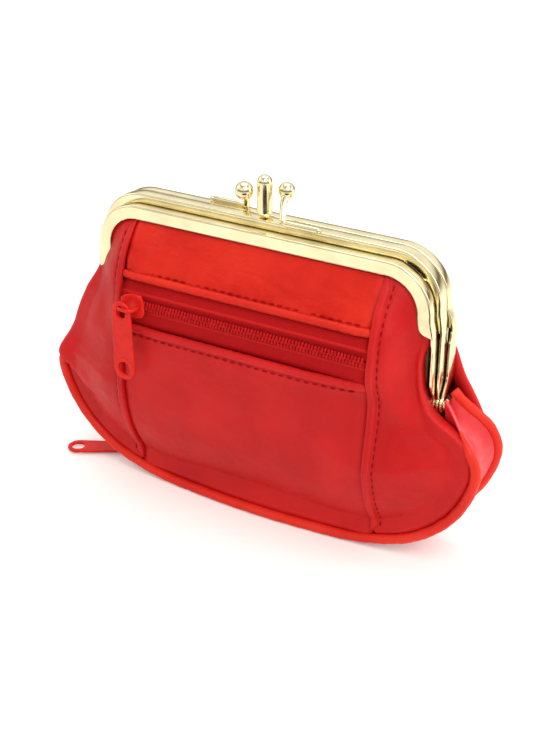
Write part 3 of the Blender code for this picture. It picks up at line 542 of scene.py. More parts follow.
def thread(name, base):
    """Twisted sewing thread, its twist grooves painted darker as shade."""
    material, tree, shader, coords = new_material(name)
    inputs = {"Scale": 900.0, "Vector": coords}
    twist = add_node(tree, "TexWave", inputs, bands_direction="DIAGONAL").outputs["Fac"]
    feed(tree, shader, {
        "Base Color": ramp(tree, twist, ((0.2, shaded(base, 0.7)), (0.8, base))),
        "Roughness": 0.8,
        "Specular IOR Level": 0.08,
        "Normal": bump(tree, twist, 0.00006, 0.8),
    })
    return material


def nylon(name, dark, light):
    """Moulded coil teeth: slightly glossy, with tone that changes from tooth to tooth."""
    material, tree, shader, coords = new_material(name)
    tone = noise(tree, coords, 1200.0, 2.0)
    feed(tree, shader, {
        "Base Color": ramp(tree, tone, ((0.3, dark), (0.7, light))),
        "Roughness": 0.5,
        "Specular IOR Level": 0.12,
        "Normal": bump(tree, tone, 0.00004, 0.5),
    })
    return material


RED = leather("red_leather", (0.47, 0.006, 0.008), (0.56, 0.009, 0.010), (0.64, 0.014, 0.014))
BRIGHT = leather(
    "bright_leather", (0.54, 0.008, 0.003), (0.65, 0.014, 0.005), (0.74, 0.026, 0.009), 0.36, 2.4
)
PIPED = leather("piping_leather", (0.62, 0.014, 0.008), (0.74, 0.024, 0.012), (0.82, 0.040, 0.022), 0.34, 0.8)
# The gusset leather's extra gloss is real, but its paler, pinker base colour is painted sheen
SHEEN_GUSSET = leather(
    "gusset_leather_painted_sheen", (0.62, 0.010, 0.016), (0.76, 0.018, 0.028), (0.86, 0.035, 0.05), 0.36, 0.8, 0.5, 0.8
)
# Near-black hem colour: painted shade that darkens the rail channels and the front rail's lens slots
HEM_SHADE = leather("hem_painted_shade", (0.020, 0.003, 0.003), (0.035, 0.004, 0.004), (0.05, 0.006, 0.006), 0.7)
GOLD = metal("pale_gold", (1.0, 0.89, 0.57))
LACQUER = lacquer("red_lacquer", (0.78, 0.016, 0.010))
TAPE_EDGE = (0.0024, 0.00028, (0.64, 0.016, 0.014))
TAPE = woven("zip_tape", (0.42, 0.004, 0.006), (0.66, 0.010, 0.012), 900.0, TAPE_EDGE)
THREAD = thread("dark_red_thread", (0.40, 0.005, 0.007))
TEETH = nylon("zip_teeth", (0.40, 0.004, 0.006), (0.62, 0.010, 0.012))
LINING = woven("tan_lining", (0.40, 0.27, 0.15), (0.58, 0.42, 0.26), 700.0)
PAPER = woven("paper_cord", (0.60, 0.50, 0.36), (0.78, 0.70, 0.56), 1300.0)


# Frame and its metal

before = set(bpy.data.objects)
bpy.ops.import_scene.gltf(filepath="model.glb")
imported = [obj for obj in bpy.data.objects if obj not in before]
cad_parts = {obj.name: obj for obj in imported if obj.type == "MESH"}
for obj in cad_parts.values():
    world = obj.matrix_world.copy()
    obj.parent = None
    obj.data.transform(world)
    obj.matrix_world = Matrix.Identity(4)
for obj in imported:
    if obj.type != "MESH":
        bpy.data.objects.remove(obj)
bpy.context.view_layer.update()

for name in ("hinge_rivet_left", "hinge_rivet_right"):
    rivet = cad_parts[name]
    for slot in rivet.material_slots:
        slot.material = GOLD
    rivet.modifiers.new("weld", "WELD").merge_threshold = 1e-6
    soften(rivet, 0.00014, 3, 40)
for name in ("front_frame_cord", "back_frame_cord"):
    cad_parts[name].material_slots[0].material = PAPER


def place(piece, body, nodes=()):
    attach(piece, body)
    if nodes:
        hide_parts(*nodes)


# Leather panels

FOLD_OFFSETS = (0.0, 0.0, 0.08, 0.2, 0.45, 0.8, 1.2, 1.6, 1.9, 2.15, 2.4, 2.7, 3.1)
FOLD_TUCK = 0.95
# How the leather's rim turns in, as (outward, inward) steps in mm: sewn to the piping, or free by the hinge
SEWN_RIM = ((0.5, 0.15), (0.9, 0.40), (1.3, 0.75), (1.6, 1.1), (1.7, 1.4), (1.7, 1.6), (1.7, 1.8))
FREE_RIM = ((0.5, 0.3), (0.8, 0.9), (0.8, 1.5), (0.3, 1.9), (-1.0, 2.1), (-3.0, 2.2), (-5.0, 2.2))
PINCHED_RIM = ((0.35, 0.3), (0.5, 1.0), (0.45, 2.0), (0.3, 3.0), (0.0, 4.0), (-0.4, 4.8), (-1.0, 5.4))
# Where a rim starts to come free, and over what height
FREE_FROM = (37.5, 5.0)
LOOSE_FROM = (32.4, 2.2)
FREE_UNTIL = (59.0, 6.0)
# Half-width and height of the flat stretch along the zip, and how wide its ends fade
FLAT_HALF, FLAT_HEIGHT, FLAT_FADE = 34.0, 10.0, 13.0


def lifted_y(face, x, z):
    """The front leather is held out flat along the zip, which stays straight from seam to seam."""
    y = skin_y(face, x, z)
    if face == "back":
        return y
    flat = skin_y(face, np.zeros_like(x), z) - 0.25
    weight = np.exp(-(((z - ZIP_Z) / FLAT_HEIGHT) ** 4)) * (1 - ease((np.abs(x) - FLAT_HALF) / FLAT_FADE))
    return y + np.maximum(flat - y, 0) * weight


def side_surface(face, side, x, z, fold):
    """The side panel's outer face: folded edge, stitch valley, the roll beside the rail's leg and waves."""
    y = lifted_y(face, side * x, z)
    inside = depth_in(face, side * x, z)
    depth = clamp(inside / 4.0)
    near = clamp(fold / 0.5)
    crest = FOLD_HEIGHT * np.sqrt(1 - (1 - near) ** 2) * (1 - ease((fold - 1.75) / 0.6))
    valley = FOLD_VALLEY * hump(fold, STITCH_OFFSET, 0.45)
    y = y + (crest - valley) * (0.25 + 0.75 * depth)
    beside = ease((z - 40.0) / 9.0) * (1 - ease((z - CHANNEL_Z) / 12.0))
    if (face, side) == ("front", 1):
        y = y + beside * (2.3 * hump(inside, 6.0, 3.0) - 0.6 * hump(inside, 1.8, 1.3))
    else:
        y = y + 1.5 * beside * hump(inside, 5.0, 4.0)
    if (face, side) == ("front", -1):
        # The leather hangs over the end of the piping, above a slanting line
        above = z - LOOSE_FROM[0] + 0.75 * (66.5 - x)
        y = y + 1.7 * ease(above / 1.6) * hump(clamp(above - 1.6, 0, 99), 0, 6.0) * ease((x - 52.0) / 8.0)
    loose = depth * ease((fold - 3.5) / 6)
    seed = 3 if side > 0 else 5
    y = y + 0.22 * waves(x, z * 0.5, seed, 15.0) * loose
    return y + 0.05 * waves(x, z, seed + 20, 5.0, 9) * loose


def side_panel(face, side):
    """The outer panel: its folded edge lies over the centre, its rim dives under the piping and the rail."""
    outline = EDGES[face, side]
    rows = 160
    line = evenly(outline[outline[:, 0] > SEAM_X + 0.5], rows)
    edge_x, edge_z = line.T
    normal = edge_normal(line)
    seam_z = edge_z[0] + (edge_z[-1] - edge_z[0]) * np.linspace(0, 1, rows)
    width = edge_x - SEAM_X
    narrow = np.minimum(1, width / 5.0)
    start = FOLD_OFFSETS[-1] * narrow
    owns = [offset * narrow for offset in FOLD_OFFSETS]
    folds = [np.full(rows, offset) for offset in FOLD_OFFSETS]
    for share in np.linspace(0, 1, 26)[1:]:
        owns.append(start + (width - start) * share)
        folds.append(FOLD_OFFSETS[-1] + owns[-1] - start)
    xs = [SEAM_X + own for own in owns]
    zs = [seam_z + (edge_z - seam_z) * own / width for own in owns]
    drops = [np.full(rows, FOLD_TUCK)] + [np.zeros(rows)] * (len(owns) - 1)
    free_from, free_over = LOOSE_FROM if (face, side) == ("front", -1) else FREE_FROM
    free = ease((edge_z - free_from) / free_over) * (1 - ease((edge_z - FREE_UNTIL[0]) / FREE_UNTIL[1]))
    rim = PINCHED_RIM if (face, side) == ("front", 1) else FREE_RIM
    for (sewn_out, sewn_in), (free_out, free_in) in zip(SEWN_RIM, rim):
        out = sewn_out + (free_out - sewn_out) * free
        xs.append(edge_x + normal[:, 0] * out)
        zs.append(edge_z + normal[:, 1] * out)
        folds.append(np.full(rows, 30.0))
        drops.append(sewn_in + (free_in - sewn_in) * free)
    x, z, fold, drop = (np.array(part).T for part in (xs, zs, folds, drops))
    y = side_surface(face, side, x, z, fold) - drop * np.where(z < CHANNEL_Z, 1.0, 0.3)
    name = f"{face}_side_{WORDS[side]}"
    sign = SIGNS[face]
    return sheet_piece(f"{name}_leather", side * x, sign * y, z, RED, PANEL_WALL, (0, sign, 0)), name


def centre_panel(name, face, low, high, material, rows, crumple, columns=70, closed=None):
    """A middle panel from seam to seam, tucked under the folds, the welts and the rail."""
    sign = SIGNS[face]
    across = np.linspace(-SEAM_X - 0.6, SEAM_X + 0.6, columns)
    x = np.tile(across, (rows, 1))
    outline = EDGES[face, 1]
    if low is None:
        bottom = np.interp(np.abs(across), outline[:60, 0], outline[:60, 1]) - 1.6
    else:
        bottom = np.full(columns, low)
    z = bottom[None, :] + (high - bottom)[None, :] * np.linspace(0, 1, rows)[:, None]
    y = lifted_y(face, x, z)
    depth = clamp(depth_in(face, x, z) / 5.0)
    y = y + crumple * depth * (waves(x, z, 31, 12.0, 9) + 0.4 * waves(x, z, 57, 5.0, 9))
    if closed == "low":
        y = y - 0.4 * ease(1 - (z - low) / 1.3)
    if closed == "high":
        y = y - 0.4 * ease(1 - (high - z) / 1.3)
    y = y - 0.80 * ease((np.abs(x) - SEAM_X + 1.2) / 1.2)
    if low is None:
        y = y - 0.75 * ease((outline[0, 1] + 0.2 - z) / 1.2)
    return sheet_piece(name, x, sign * y, z, material, PANEL_WALL, (0, sign, 0))


def bend_side(piece):
    """Bakes the piece's object transform into its mesh."""
    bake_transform(piece)


for face, side in EDGES:
    piece, node = side_panel(face, side)
    bend_side(piece)
    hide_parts(node)

panel = centre_panel(
    "front_centre_bottom_leather", "front", None, LOWER_WELT_Z - 0.7, RED, 80, 0.07, closed="high"
)
place(panel, "pouch", ["front_centre_bottom"])
panel = centre_panel(
    "front_centre_top_leather", "front", UPPER_WELT_Z + 0.7, 83.4, BRIGHT, 60, 0.24, 110, "low"
)
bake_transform(panel)
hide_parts("front_centre_top")
panel = centre_panel("back_centre_leather", "back", None, 85.4, RED, 110, 0.10)
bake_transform(panel)
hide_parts("back_centre")


# Piping, gussets, divider and linings


def piping_cord(face):
    """A corded edge. The front's left end is tucked in under loose leather, and its right end thins out."""
    line = np.vstack([PIPING[::-1] * np.array([-1, 1]), PIPING[1:]])
    if face == "front":
        line = line[line[:, 1] < np.where(line[:, 0] < 0, PIPING_TOP_LEFT, PIPING_TOP_RIGHT)]
    x, z = line.T
    y = SIGNS[face] * piping_y(x, z)
    steps = np.arange(len(line))
    girth = PIPING_RADIUS * (1 + 0.03 * np.sin(steps * 0.9) + 0.02 * np.sin(steps * 2.3))
    if face == "front":
        girth = girth * np.where(x > 0, 1 - 0.72 * ease((z - 36.5) / 6.5), 1.0)
        x = x + PIPING_TUCK * ease((z - 30.0) / 6.0) * (x < 0)
    piece = tube_piece(f"{face}_piping_cord", np.stack([x, y, z], axis=1), girth, PIPED, 18)
    for vertex in piece.data.vertices:
        vertex.co.z = max(vertex.co.z, 0.00005)
    return piece


def side_gusset(side):
    """The gusset between the two pipings, folded in along its middle."""
    rows, columns = 70, 36
    centre = curve_through(GUSSET_CENTRE, rows)
    edge = PIPING[int(np.argmax(PIPING[:, 0] > 46.0)):]
    edge = points_at(np.linspace(0, len(edge) - 1, rows), np.arange(len(edge)), edge)
    across = np.linspace(-1, 1, columns)[None, :]
    share = np.abs(across) ** 1.7
    x = centre[:, :1] + (edge[:, :1] - centre[:, :1]) * share
    z = centre[:, 1:] + (edge[:, 1:] - centre[:, 1:]) * share
    y = (piping_y(edge[:, :1], edge[:, 1:]) - PIPING_RADIUS + 0.5) * across
    inner = 1 - np.abs(across) ** 3
    x = x + 0.25 * waves(y, z, 71, 9.0) * inner - 0.35 * hump(across, 0, 0.16)
    return sheet_piece(f"gusset_{WORDS[side]}_leather", side * x, y, z, SHEEN_GUSSET, 0.8, (side, 0, 0))


def floor_gusset(face):
    """The bottom strip from a piping to its edge of the second zip."""
    rows, columns = 16, 60
    sign = SIGNS[face]
    across = np.linspace(-46.0, 46.0, columns)
    edge_z = np.interp(np.abs(across), PIPING[:, 0], PIPING[:, 1])
    edge_y = piping_y(across, edge_z) - PIPING_RADIUS + 0.4
    slot_y = 3.2 + sign * FLOOR_ZIP_Y
    y = edge_y[None, :] + (slot_y - edge_y)[None, :] * np.linspace(0, 1, rows)[:, None]
    z = edge_z[None, :] + (4.5 - edge_z)[None, :] * (1 - (y / edge_y[None, :]) ** 4)
    x = np.tile(across, (rows, 1))
    return sheet_piece(f"gusset_bottom_{face}_leather", x, sign * y, z, RED, 0.7, (0, 0, -1))


def inner_grid(outline, rows, columns):
    edge = curve_through(outline, rows)
    return edge[:, :1] * np.linspace(-1, 1, columns)[None, :], edge[:, 1:] * np.ones((1, columns))


for face in SIGNS:
    place(piping_cord(face), "pouch", [f"{face}_piping"])
for side, word in WORDS.items():
    place(side_gusset(side), "pouch", [f"gusset_{word}"])
for face in SIGNS:
    place(floor_gusset(face), "pouch", [f"gusset_bottom_{face}"])
x, z = inner_grid(DIVIDER_EDGE, 60, 24)
wall = sheet_piece("divider_leather", x, 0.6 + 0 * x, z, LINING, 1.2, (0, 1, 0))
place(wall, "pouch", ["divider"])
for face, depth in (("front", 2.6), ("back", 1.8)):
    x, z = inner_grid(LINING_EDGE, 50, 40)
    y = SIGNS[face] * (skin_y(face, x, z) - depth)
    cloth = sheet_piece(f"{face}_lining_cloth", x, y, z, LINING, 0.5, (0, SIGNS[face], 0))
    place(cloth, "pouch", [f"{face}_lining"])


# Zips and stitches


def skin_line(half, z, count, out):
    """A level line across the front, out from its leather."""
    x = np.linspace(-half, half, count)
    zs = np.full_like(x, z)
    return np.stack([x, -(lifted_y("front", x, zs) + out), zs], axis=1)


def welt(name, z, material):
    """A rolled leather edge, slightly uneven."""
    line = skin_line(SEAM_X - 0.2, z, 90, 0.05 - WELT_RADIUS / 2)
    ripple = 1 + 0.03 * np.sin(line[:, 0] * 2.1) + 0.025 * np.sin(line[:, 0] * 4.7)
    return tube_piece(name, line, WELT_RADIUS * ripple, material, 16)


def tape_band(name, half, y_low, y_high, z_low, z_high, outward):
    """A straight band of tape between two (y, z) edges."""
    x = np.tile(np.linspace(-half, half, 24), (4, 1))
    up = np.linspace(0, 1, 4)[:, None] * np.ones((1, 24))
    y, z = y_low + (y_high - y_low) * up, z_low + (z_high - z_low) * up
    return sheet_piece(name, x, y, z, TAPE, TAPE_WALL, outward)


def zip_teeth(name, spots, way, length, radius, outward):
    return rows_of(name, spots, [way] * len(spots), length, radius, TEETH, 8, 6, 1.2, outward)


place(welt("lower_welt_roll", LOWER_WELT_Z, RED), "pouch", ["lower_welt"])
place(welt("upper_welt_roll", UPPER_WELT_Z, BRIGHT), "pouch", ["upper_welt"])
ZIP_ROWS = (("lower", -1, LOWER_WELT_Z), ("upper", 1, UPPER_WELT_Z))
for word, way, welt_z in ZIP_ROWS:
    welt_y = float(-(skin_y("front", np.array(0.0), np.array(welt_z)) - WELT_RADIUS * 1.4))
    name, near_z = f"zip_tape_{word}_cloth", ZIP_Z + way * 0.3
    tape = tape_band(name, ZIP_HALF, TAPE_Y, max(welt_y, TAPE_Y), near_z, welt_z, (0, -1, 0))
    place(tape, "pouch", [f"zip_tape_{word}"])
for word, way, welt_z in ZIP_ROWS:
    start = -37.2 + (TOOTH_PITCH / 2 if way > 0 else 0.0)
    spots = [(x, TOOTH_Y, ZIP_Z + way * TOOTH_APART) for x in np.arange(start, 37.4, TOOTH_PITCH)]
    teeth = zip_teeth(f"zip_teeth_{word}", spots, (0.10, 0.0, 1.0), 1.9, 0.36, (0, -1, 0))
    place(teeth, "pouch", [f"zip_coil_{word}"])
for word, way, welt_z in ZIP_ROWS:
    line = skin_line(36.8, welt_z + way * WELT_STITCH_GAP, 120, 0.02)
    place(stitch_row(f"stitches_{word}_welt", line, 1.7, 2.5), "pouch", ())
for face, side in EDGES:
    z = np.linspace(7.6, 79.5, 160)
    x = np.full_like(z, SEAM_X + STITCH_OFFSET)
    y = side_surface(face, side, x, z, np.full_like(z, STITCH_OFFSET)) + 0.05
    line = np.stack([side * x, SIGNS[face] * y, z], axis=1)
    piece = stitch_row(f"stitches_{face}_{WORDS[side]}", line, 1.6, 2.4)
    bend_side(piece)


# Sliders and tabs

TAB_TOP = 1.6
TAB_END = 21.9
EYE = ((0.0, 1.25), 1.65, 2.1)
HOLE_RADIUS = 2.1
SLIDER_SHARPNESS = 0.62
BRIDGE_SHARPNESS = 0.55
BRIDGE_FOOT = 0.7
FRONT_FACE = (-32.3, -16.55, ZIP_Z)
FRONT_PIVOT = (-34.1, -19.1, ZIP_Z)
FLOOR_FACE = (-45.5, FLOOR_ZIP_Y, 4.6)
FLOOR_PIVOT = (-47.46, FLOOR_ZIP_Y, 2.05)
FLOOR_TAB_TURN = math.radians(28)


def outline_solid(name, loops, thickness, rim, material, matrix):
    """A flat plate with holes from 2-D loops in mm, with rolled edges, placed by a matrix in mm."""
    curve = bpy.data.curves.new(name, "CURVE")
    curve.dimensions = "2D"
    curve.fill_mode = "BOTH"
    curve.extrude = (thickness / 2 - rim) * MM
    curve.bevel_depth = rim * MM
    curve.bevel_resolution = 3
    for loop in loops:
        spline = curve.splines.new("POLY")
        spline.points.add(len(loop) - 1)
        for point, (a, b) in zip(spline.points, loop):
            point.co = (a * MM, b * MM, 0, 1)
        spline.use_cyclic_u = True
    temp = add_object(name, curve)
    depsgraph = bpy.context.evaluated_depsgraph_get()
    mesh = bpy.data.meshes.new_from_object(temp.evaluated_get(depsgraph))
    bpy.data.objects.remove(temp)
    bpy.data.curves.remove(curve)
    mesh.name = name
    mesh.transform(Matrix.Diagonal((MM, MM, MM, 1)) @ matrix @ Matrix.Diagonal((1 / MM, 1 / MM, 1 / MM, 1)))
    dress_mesh(mesh, material)
    return add_object(name, mesh)


def bowed(value, power):
    """A sine or cosine raised to a power, with its sign kept."""
    return math.copysign(abs(value) ** power, value)


def oval(centre, half_width, half_length, power=2.0):
    """A superellipse loop: power 2 is an ellipse, more is squarer."""
    points = []
    for turn in arc(48):
        x = centre[0] + half_width * bowed(math.cos(turn), 2 / power)
        points.append((x, centre[1] + half_length * bowed(math.sin(turn), 2 / power)))
    return points


def join(name, parts):
    """One mesh from several, each with its own material kept."""
    with bpy.context.temp_override(
        active_object=parts[0], selected_editable_objects=parts, selected_objects=parts
    ):
        bpy.ops.object.join()
    parts[0].name = name
    return parts[0]


def frame_matrix(origin, *axes):
    return Matrix.Translation(origin) @ Matrix(axes).transposed().to_4x4()


def strap_loop(top_radius, end_radius):
    """A strap's edge: a smaller round end at the eye, widening flanks and a larger round at the hole."""
    points = []
    ends = ((0.0, end_radius, TAB_END - end_radius), (math.pi, top_radius, top_radius - TAB_TOP))
    for start, radius, centre in ends:
        for turn in arc(24, math.pi, 25):
            points.append((radius * math.cos(start + turn), centre + radius * math.sin(start + turn)))
    return points


def strap_tab(name, pivot, across, down, front, width, forward):
    """A lacquered strap pull with an oval eye for the bridge and a round hole, both with raised rims."""
    matrix = frame_matrix(Vector(pivot) + Vector(front) * forward, across, down, front)
    lift = Matrix.Translation(Vector(front) * 0.22) @ matrix
    end_radius = width / 2 - 0.15
    hole_at = (0.0, TAB_END - end_radius)
    eye_at, eye_half, eye_long = EYE
    edge = strap_loop(end_radius - 0.45, end_radius)
    hole = oval(hole_at, HOLE_RADIUS, HOLE_RADIUS + 0.15, 2.1)
    rim = [
        oval(hole_at, end_radius - 0.1, end_radius - 0.1),
        oval(hole_at, HOLE_RADIUS + 0.05, HOLE_RADIUS + 0.2, 2.1),
    ]
    collar = [
        oval(eye_at, eye_half + 0.8, eye_long + 0.7, 2.2),
        oval(eye_at, eye_half + 0.05, eye_long + 0.05, 2.4),
    ]
    return join(name, [
        outline_solid(f"{name}_plate", [edge, oval(*EYE, 2.4), hole], 0.75, 0.25, LACQUER, matrix),
        outline_solid(f"{name}_rim", rim, 0.6, 0.28, LACQUER, lift),
        outline_solid(f"{name}_collar", collar, 0.6, 0.28, LACQUER, lift),
    ])


def slider_body(name, face, along, outward, across, bridge_near, bridge_far, rise, length, half_width):
    """A zip slider: a waisted plate with side lips and an arched bridge along it."""
    face, along, outward, across = (Vector(part) for part in (face, along, outward, across))
    matrix = frame_matrix(face + outward * 0.52, along, across, outward)
    loop = []
    for turn in arc(64):
        x = length * bowed(math.cos(turn), SLIDER_SHARPNESS)
        half = half_width - 0.75 * float(ease((0.6 - x) / length))
        loop.append((x, half * bowed(math.sin(turn), SLIDER_SHARPNESS)))
    parts = [outline_solid(f"{name}_plate", [loop], 0.65, 0.25, LACQUER, matrix)]
    for way in (1, -1):
        lip = [
            face + along * x + outward * 0.25
            + across * (way * (half_width - 0.35 - 0.7 * float(ease((0.6 - x) / length))))
            for x in np.linspace(0.9 - length, length - 0.7, 12)
        ]
        parts.append(tube_piece(f"{name}_lip_{way}", lip, 0.42, LACQUER, 12))
    arch = []
    middle, half = (bridge_near + bridge_far) / 2, (bridge_far - bridge_near) / 2
    for turn in arc(24, math.pi, 25):
        x = middle - half * bowed(math.cos(turn), BRIDGE_SHARPNESS)
        high = BRIDGE_FOOT + (rise - BRIDGE_FOOT) * math.sin(turn) ** BRIDGE_SHARPNESS
        arch.append(face + along * x + outward * high)
    parts.append(tube_piece(f"{name}_bridge", arch, 0.46, LACQUER, 12))
    return join(name, parts)


piece = slider_body("zip_slider_red", FRONT_FACE, (1, 0, 0), (0, -1, 0), (0, 0, 1), -2.8, 2.3, 4.5, 3.6, 3.3)
place(piece, "front_slider", ["zip_slider"])
piece = strap_tab("zip_pull_red", FRONT_PIVOT, (1, 0, 0), (0, 0, -1), (0, -1, 0), 6.9, 0.86)
place(piece, "front_tab", ["zip_pull_tab"])
piece = slider_body(
    "bottom_slider_red", FLOOR_FACE, (1, 0, 0), (0, 0, -1), (0, 1, 0), -2.95, -0.9, 3.2, 4.0, 2.8
)
place(piece, "floor_slider", ["bottom_slider"])
away = Vector((-math.cos(FLOOR_TAB_TURN), -math.sin(FLOOR_TAB_TURN), 0))
down = Vector((0, 0, -1))
piece = strap_tab("bottom_pull_red", FLOOR_PIVOT, away.cross(down), away, down, 6.4, 1.2)
place(piece, "floor_tab", ["bottom_pull_tab"])

tape = tape_band("bottom_tape_cloth", FLOOR_ZIP_HALF, -2.0, 5.4, 6.0, 6.0, (0, 0, -1))
place(tape, "pouch", ["bottom_zip_tape"])
spots = [(x, FLOOR_ZIP_Y, 5.2) for x in np.arange(-45.2, 45.3, TOOTH_PITCH)]
teeth = zip_teeth("bottom_teeth", spots, (0.1, 1.0, 0.0), 2.4, 0.34, (0, 0, -1))
place(teeth, "pouch", ["bottom_zip_coil"])


# Rails

RAIL_WALL = 0.5
RAIL_ROUND = 0.45
FLANGE_END_Z = 66.9
FLANGE_ROUND = 2.8
LOOSE_FLANGE = (62.4, 7.9)
LEG_WIDE_Z = 62.5
# Support lines along a flange and across a wall, which keep their shading flat
FLANGE_SHARES = (1.0, 0.93, 0.6, 0.3, 0.0)
WALL_SHARES = (0.06, 0.25, 0.5, 0.75, 0.94)
LEG_BEND_Z = 54.0
EYE_NECK = 1.5
LENS_TURN = math.radians(58)
LENS_SIZES = (4.2, 0.95, 1.9)
# Name, body, half width, top, corner radius, Y of both flanges, Y of both sides of the leg,
# depth of both flanges, and how far out the leg's foot is
RAILS = (
    ("front_frame", "front_flap", 51.0, 85.2, 13.0, -5.65, -2.45, -4.80, 0.00, 3.4, 2.2, 51.55),
    ("middle_frame", "pouch", 52.0, 87.5, 13.5, -1.95, 1.95, -2.00, 2.00, 2.4, 2.4, 52.55),
    ("back_frame", "back_flap", 52.0, 87.2, 13.5, 2.45, 5.65, 1.50, 5.55, 2.2, 3.4, 53.55),
)
# The hems stand for the leather's edges inside the channels; their near-black colour is painted shade for the
# dark lens slots
# Name, rail, lower end, depth in the channel and Y of both edges
HEMS = (
    ("front_hem_shade", RAILS[0], 70.0, 1.3, -4.9, -3.0),
    ("back_hem_shade", RAILS[2], 60.0, 0.85, 2.9, 5.0),
)


def rail_line(half_width, top, corner, foot):
    """The middle line of a rail's wall, from one foot over the top to the other, closely spaced."""
    wall = RAIL_WALL / 2
    radius = corner - wall
    centre = (half_width - corner, top - corner)
    points = [(foot, z) for z in np.linspace(HINGE_Z, FLANGE_END_Z, 30)]
    for share in np.linspace(0, 1, 10)[1:]:
        x = foot + (half_width - wall - foot) * float(ease(share))
        points.append((x, FLANGE_END_Z + (centre[1] - FLANGE_END_Z) * share))
    for turn in arc(32, math.pi / 2, 33)[1:]:
        points.append((centre[0] + radius * math.cos(turn), centre[1] + radius * math.sin(turn)))
    points += [(x, top - wall) for x in np.linspace(centre[0], 0, 26)[1:]]
    right = np.array(points)
    return np.vstack([right, right[-2::-1] * np.array([-1, 1])])


def folded_edge(base, deep, fold, y, way):
    """A flange from its free edge to the end of its rounded fold, as (inward, y)."""
    hold = min(base + fold + 0.10, 0.5 * (base + fold + deep))
    points = [(hold + (deep - hold) * share, y) for share in FLANGE_SHARES]
    for turn in arc(6, math.pi / 2, 7):
        points.append((base + fold * (1 - math.sin(turn)), y + way * fold * (1 - math.cos(turn))))
    return points


def rail_section(y_near, y_far, near_depth, far_depth, full):
    """One section of the channel, as (inward, y), with its flanges at a share of their full depth."""
    base = -RAIL_WALL / 2
    inner = base + RAIL_WALL
    deep_near = inner + (near_depth - RAIL_WALL / 2) * full
    deep_far = inner + (far_depth - RAIL_WALL / 2) * full
    fold = RAIL_ROUND * (0.4 + 0.6 * full)
    width = y_far - y_near - 2 * fold
    section = folded_edge(base, deep_near, fold, y_near, 1)
    for share in WALL_SHARES:
        section.append((base - 0.10 * math.sin(math.pi * share), y_near + fold + width * share))
    section += reversed(folded_edge(base, deep_far, fold, y_far, -1))
    low, high = y_near + RAIL_WALL * 0.8, y_far - RAIL_WALL * 0.8
    return section + [(deep_far, high), (inner, high), (inner, low), (deep_near, low)]


def rail_piece(name, half_width, top, corner, near, far, leg_near, leg_far, near_depth, far_depth, foot):
    """A folded channel swept along its line, with rounded folds and flanges that end in a round."""
    line = rail_line(half_width, top, corner, foot)
    verts = []
    for (x, z), (nx, nz) in zip(line, -edge_normal(line)):
        upper = float(ease((z - LEG_WIDE_Z) / (FLANGE_END_Z - 0.4 - LEG_WIDE_Z)))
        y_near = leg_near + (near - leg_near) * upper
        y_far = leg_far + (far - leg_far) * upper
        bent = float(ease((LEG_BEND_Z - z) / (LEG_BEND_Z - HINGE_Z)))
        y_near += (-EYE_NECK - y_near) * bent
        y_far += (EYE_NECK - y_far) * bent
        full = math.sqrt(1 - (1 - float(clamp((z - FLANGE_END_Z) / FLANGE_ROUND))) ** 2)
        if name == "front_frame" and x < 0:
            # The leather crosses the left leg on a slant, so the flange narrows slowly there
            full = float(clamp((z - LOOSE_FLANGE[0]) / LOOSE_FLANGE[1]))
        section = rail_section(y_near, y_far, near_depth, far_depth, full)
        verts += [((x + nx * inward) * MM, y * MM, (z + nz * inward) * MM) for inward, y in section]
    return capped_mesh(f"{name}_rail", verts, len(section), GOLD)


def lens_cut(piece, half_width, top, corner, y):
    """The lens-shaped slot that shows at each corner of the front rail's wall."""
    across, up = corner * math.cos(LENS_TURN), corner * math.sin(LENS_TURN)
    for side in WORDS:
        centre = (side * (half_width - corner + across), y, top - corner + up)
        lens = sphere_mesh("lens", 32, 16, LENS_SIZES, side * (math.pi / 2 - LENS_TURN), centre)
        lens = add_object("lens", lens)
        cut = piece.modifiers.new("slot", "BOOLEAN")
        cut.object = lens
        cut.solver = "EXACT"
        with bpy.context.temp_override(object=piece, active_object=piece):
            bpy.ops.object.modifier_apply(modifier="slot")
        bpy.data.objects.remove(lens)


for name, rail, from_z, inset, y_low, y_high in HEMS:
    line = rail_line(*rail[2:5], rail[-1])
    line = line[line[:, 1] > from_z]
    line = line - edge_normal(line) * inset
    y = np.linspace(y_low, y_high, 4)[None, :] + 0 * line[:, :1]
    hem = sheet_piece(name, line[:, :1] + 0 * y, y, line[:, 1:] + 0 * y, HEM_SHADE, 0.3, (0, 0, 1))
    place(hem, rail[1])
for name, body, *sizes in RAILS:
    piece = rail_piece(name, *sizes)
    if name == "front_frame":
        lens_cut(piece, *sizes[:3], sizes[4])
    soften(piece, 0.00012, 2, 50)
    place(piece, body, [name])
    for side in WORDS:
        matrix = frame_matrix((side * sizes[-1], 0, HINGE_Z), (0, 1, 0), (0, 0, 1), (1, 0, 0))
        ring = [oval((0, 0), 2.1, 2.1), oval((0, 0), 1.3, 1.3)]
        place(outline_solid(f"{name}_eye_{side}", ring, 0.68, 0.2, GOLD, matrix), body, ())


# Clasp

FRONT_BALL = (4.9, 3.0, 94.9)
BACK_BALL = (-4.6, -2.8, 95.1)
BAR_LENGTH = 11.3
BAR_RADIUS = 0.9
POST_RADIUS = 2.1
POST_DOME_Z = 97.3


def post_piece(name):
    """The fixed post: a foot, a round shaft and a domed top."""
    profile = [(1.0, 87.8), (1.7, 88.2), (POST_RADIUS, 88.9), (POST_RADIUS, 89.6)]
    profile += [(POST_RADIUS, 89.6 + 7.5 * share) for share in (0.25, 0.5, 0.75)]
    for turn in arc(10, math.pi / 2):
        profile.append((POST_RADIUS * math.cos(turn), POST_DOME_Z + POST_RADIUS * math.sin(turn)))
    profile.append((0.05, POST_DOME_Z + POST_RADIUS))
    verts = [(r * math.cos(t) * MM, r * math.sin(t) * MM, z * MM) for r, z in profile for t in arc(48)]
    return capped_mesh(name, verts, 48, GOLD)


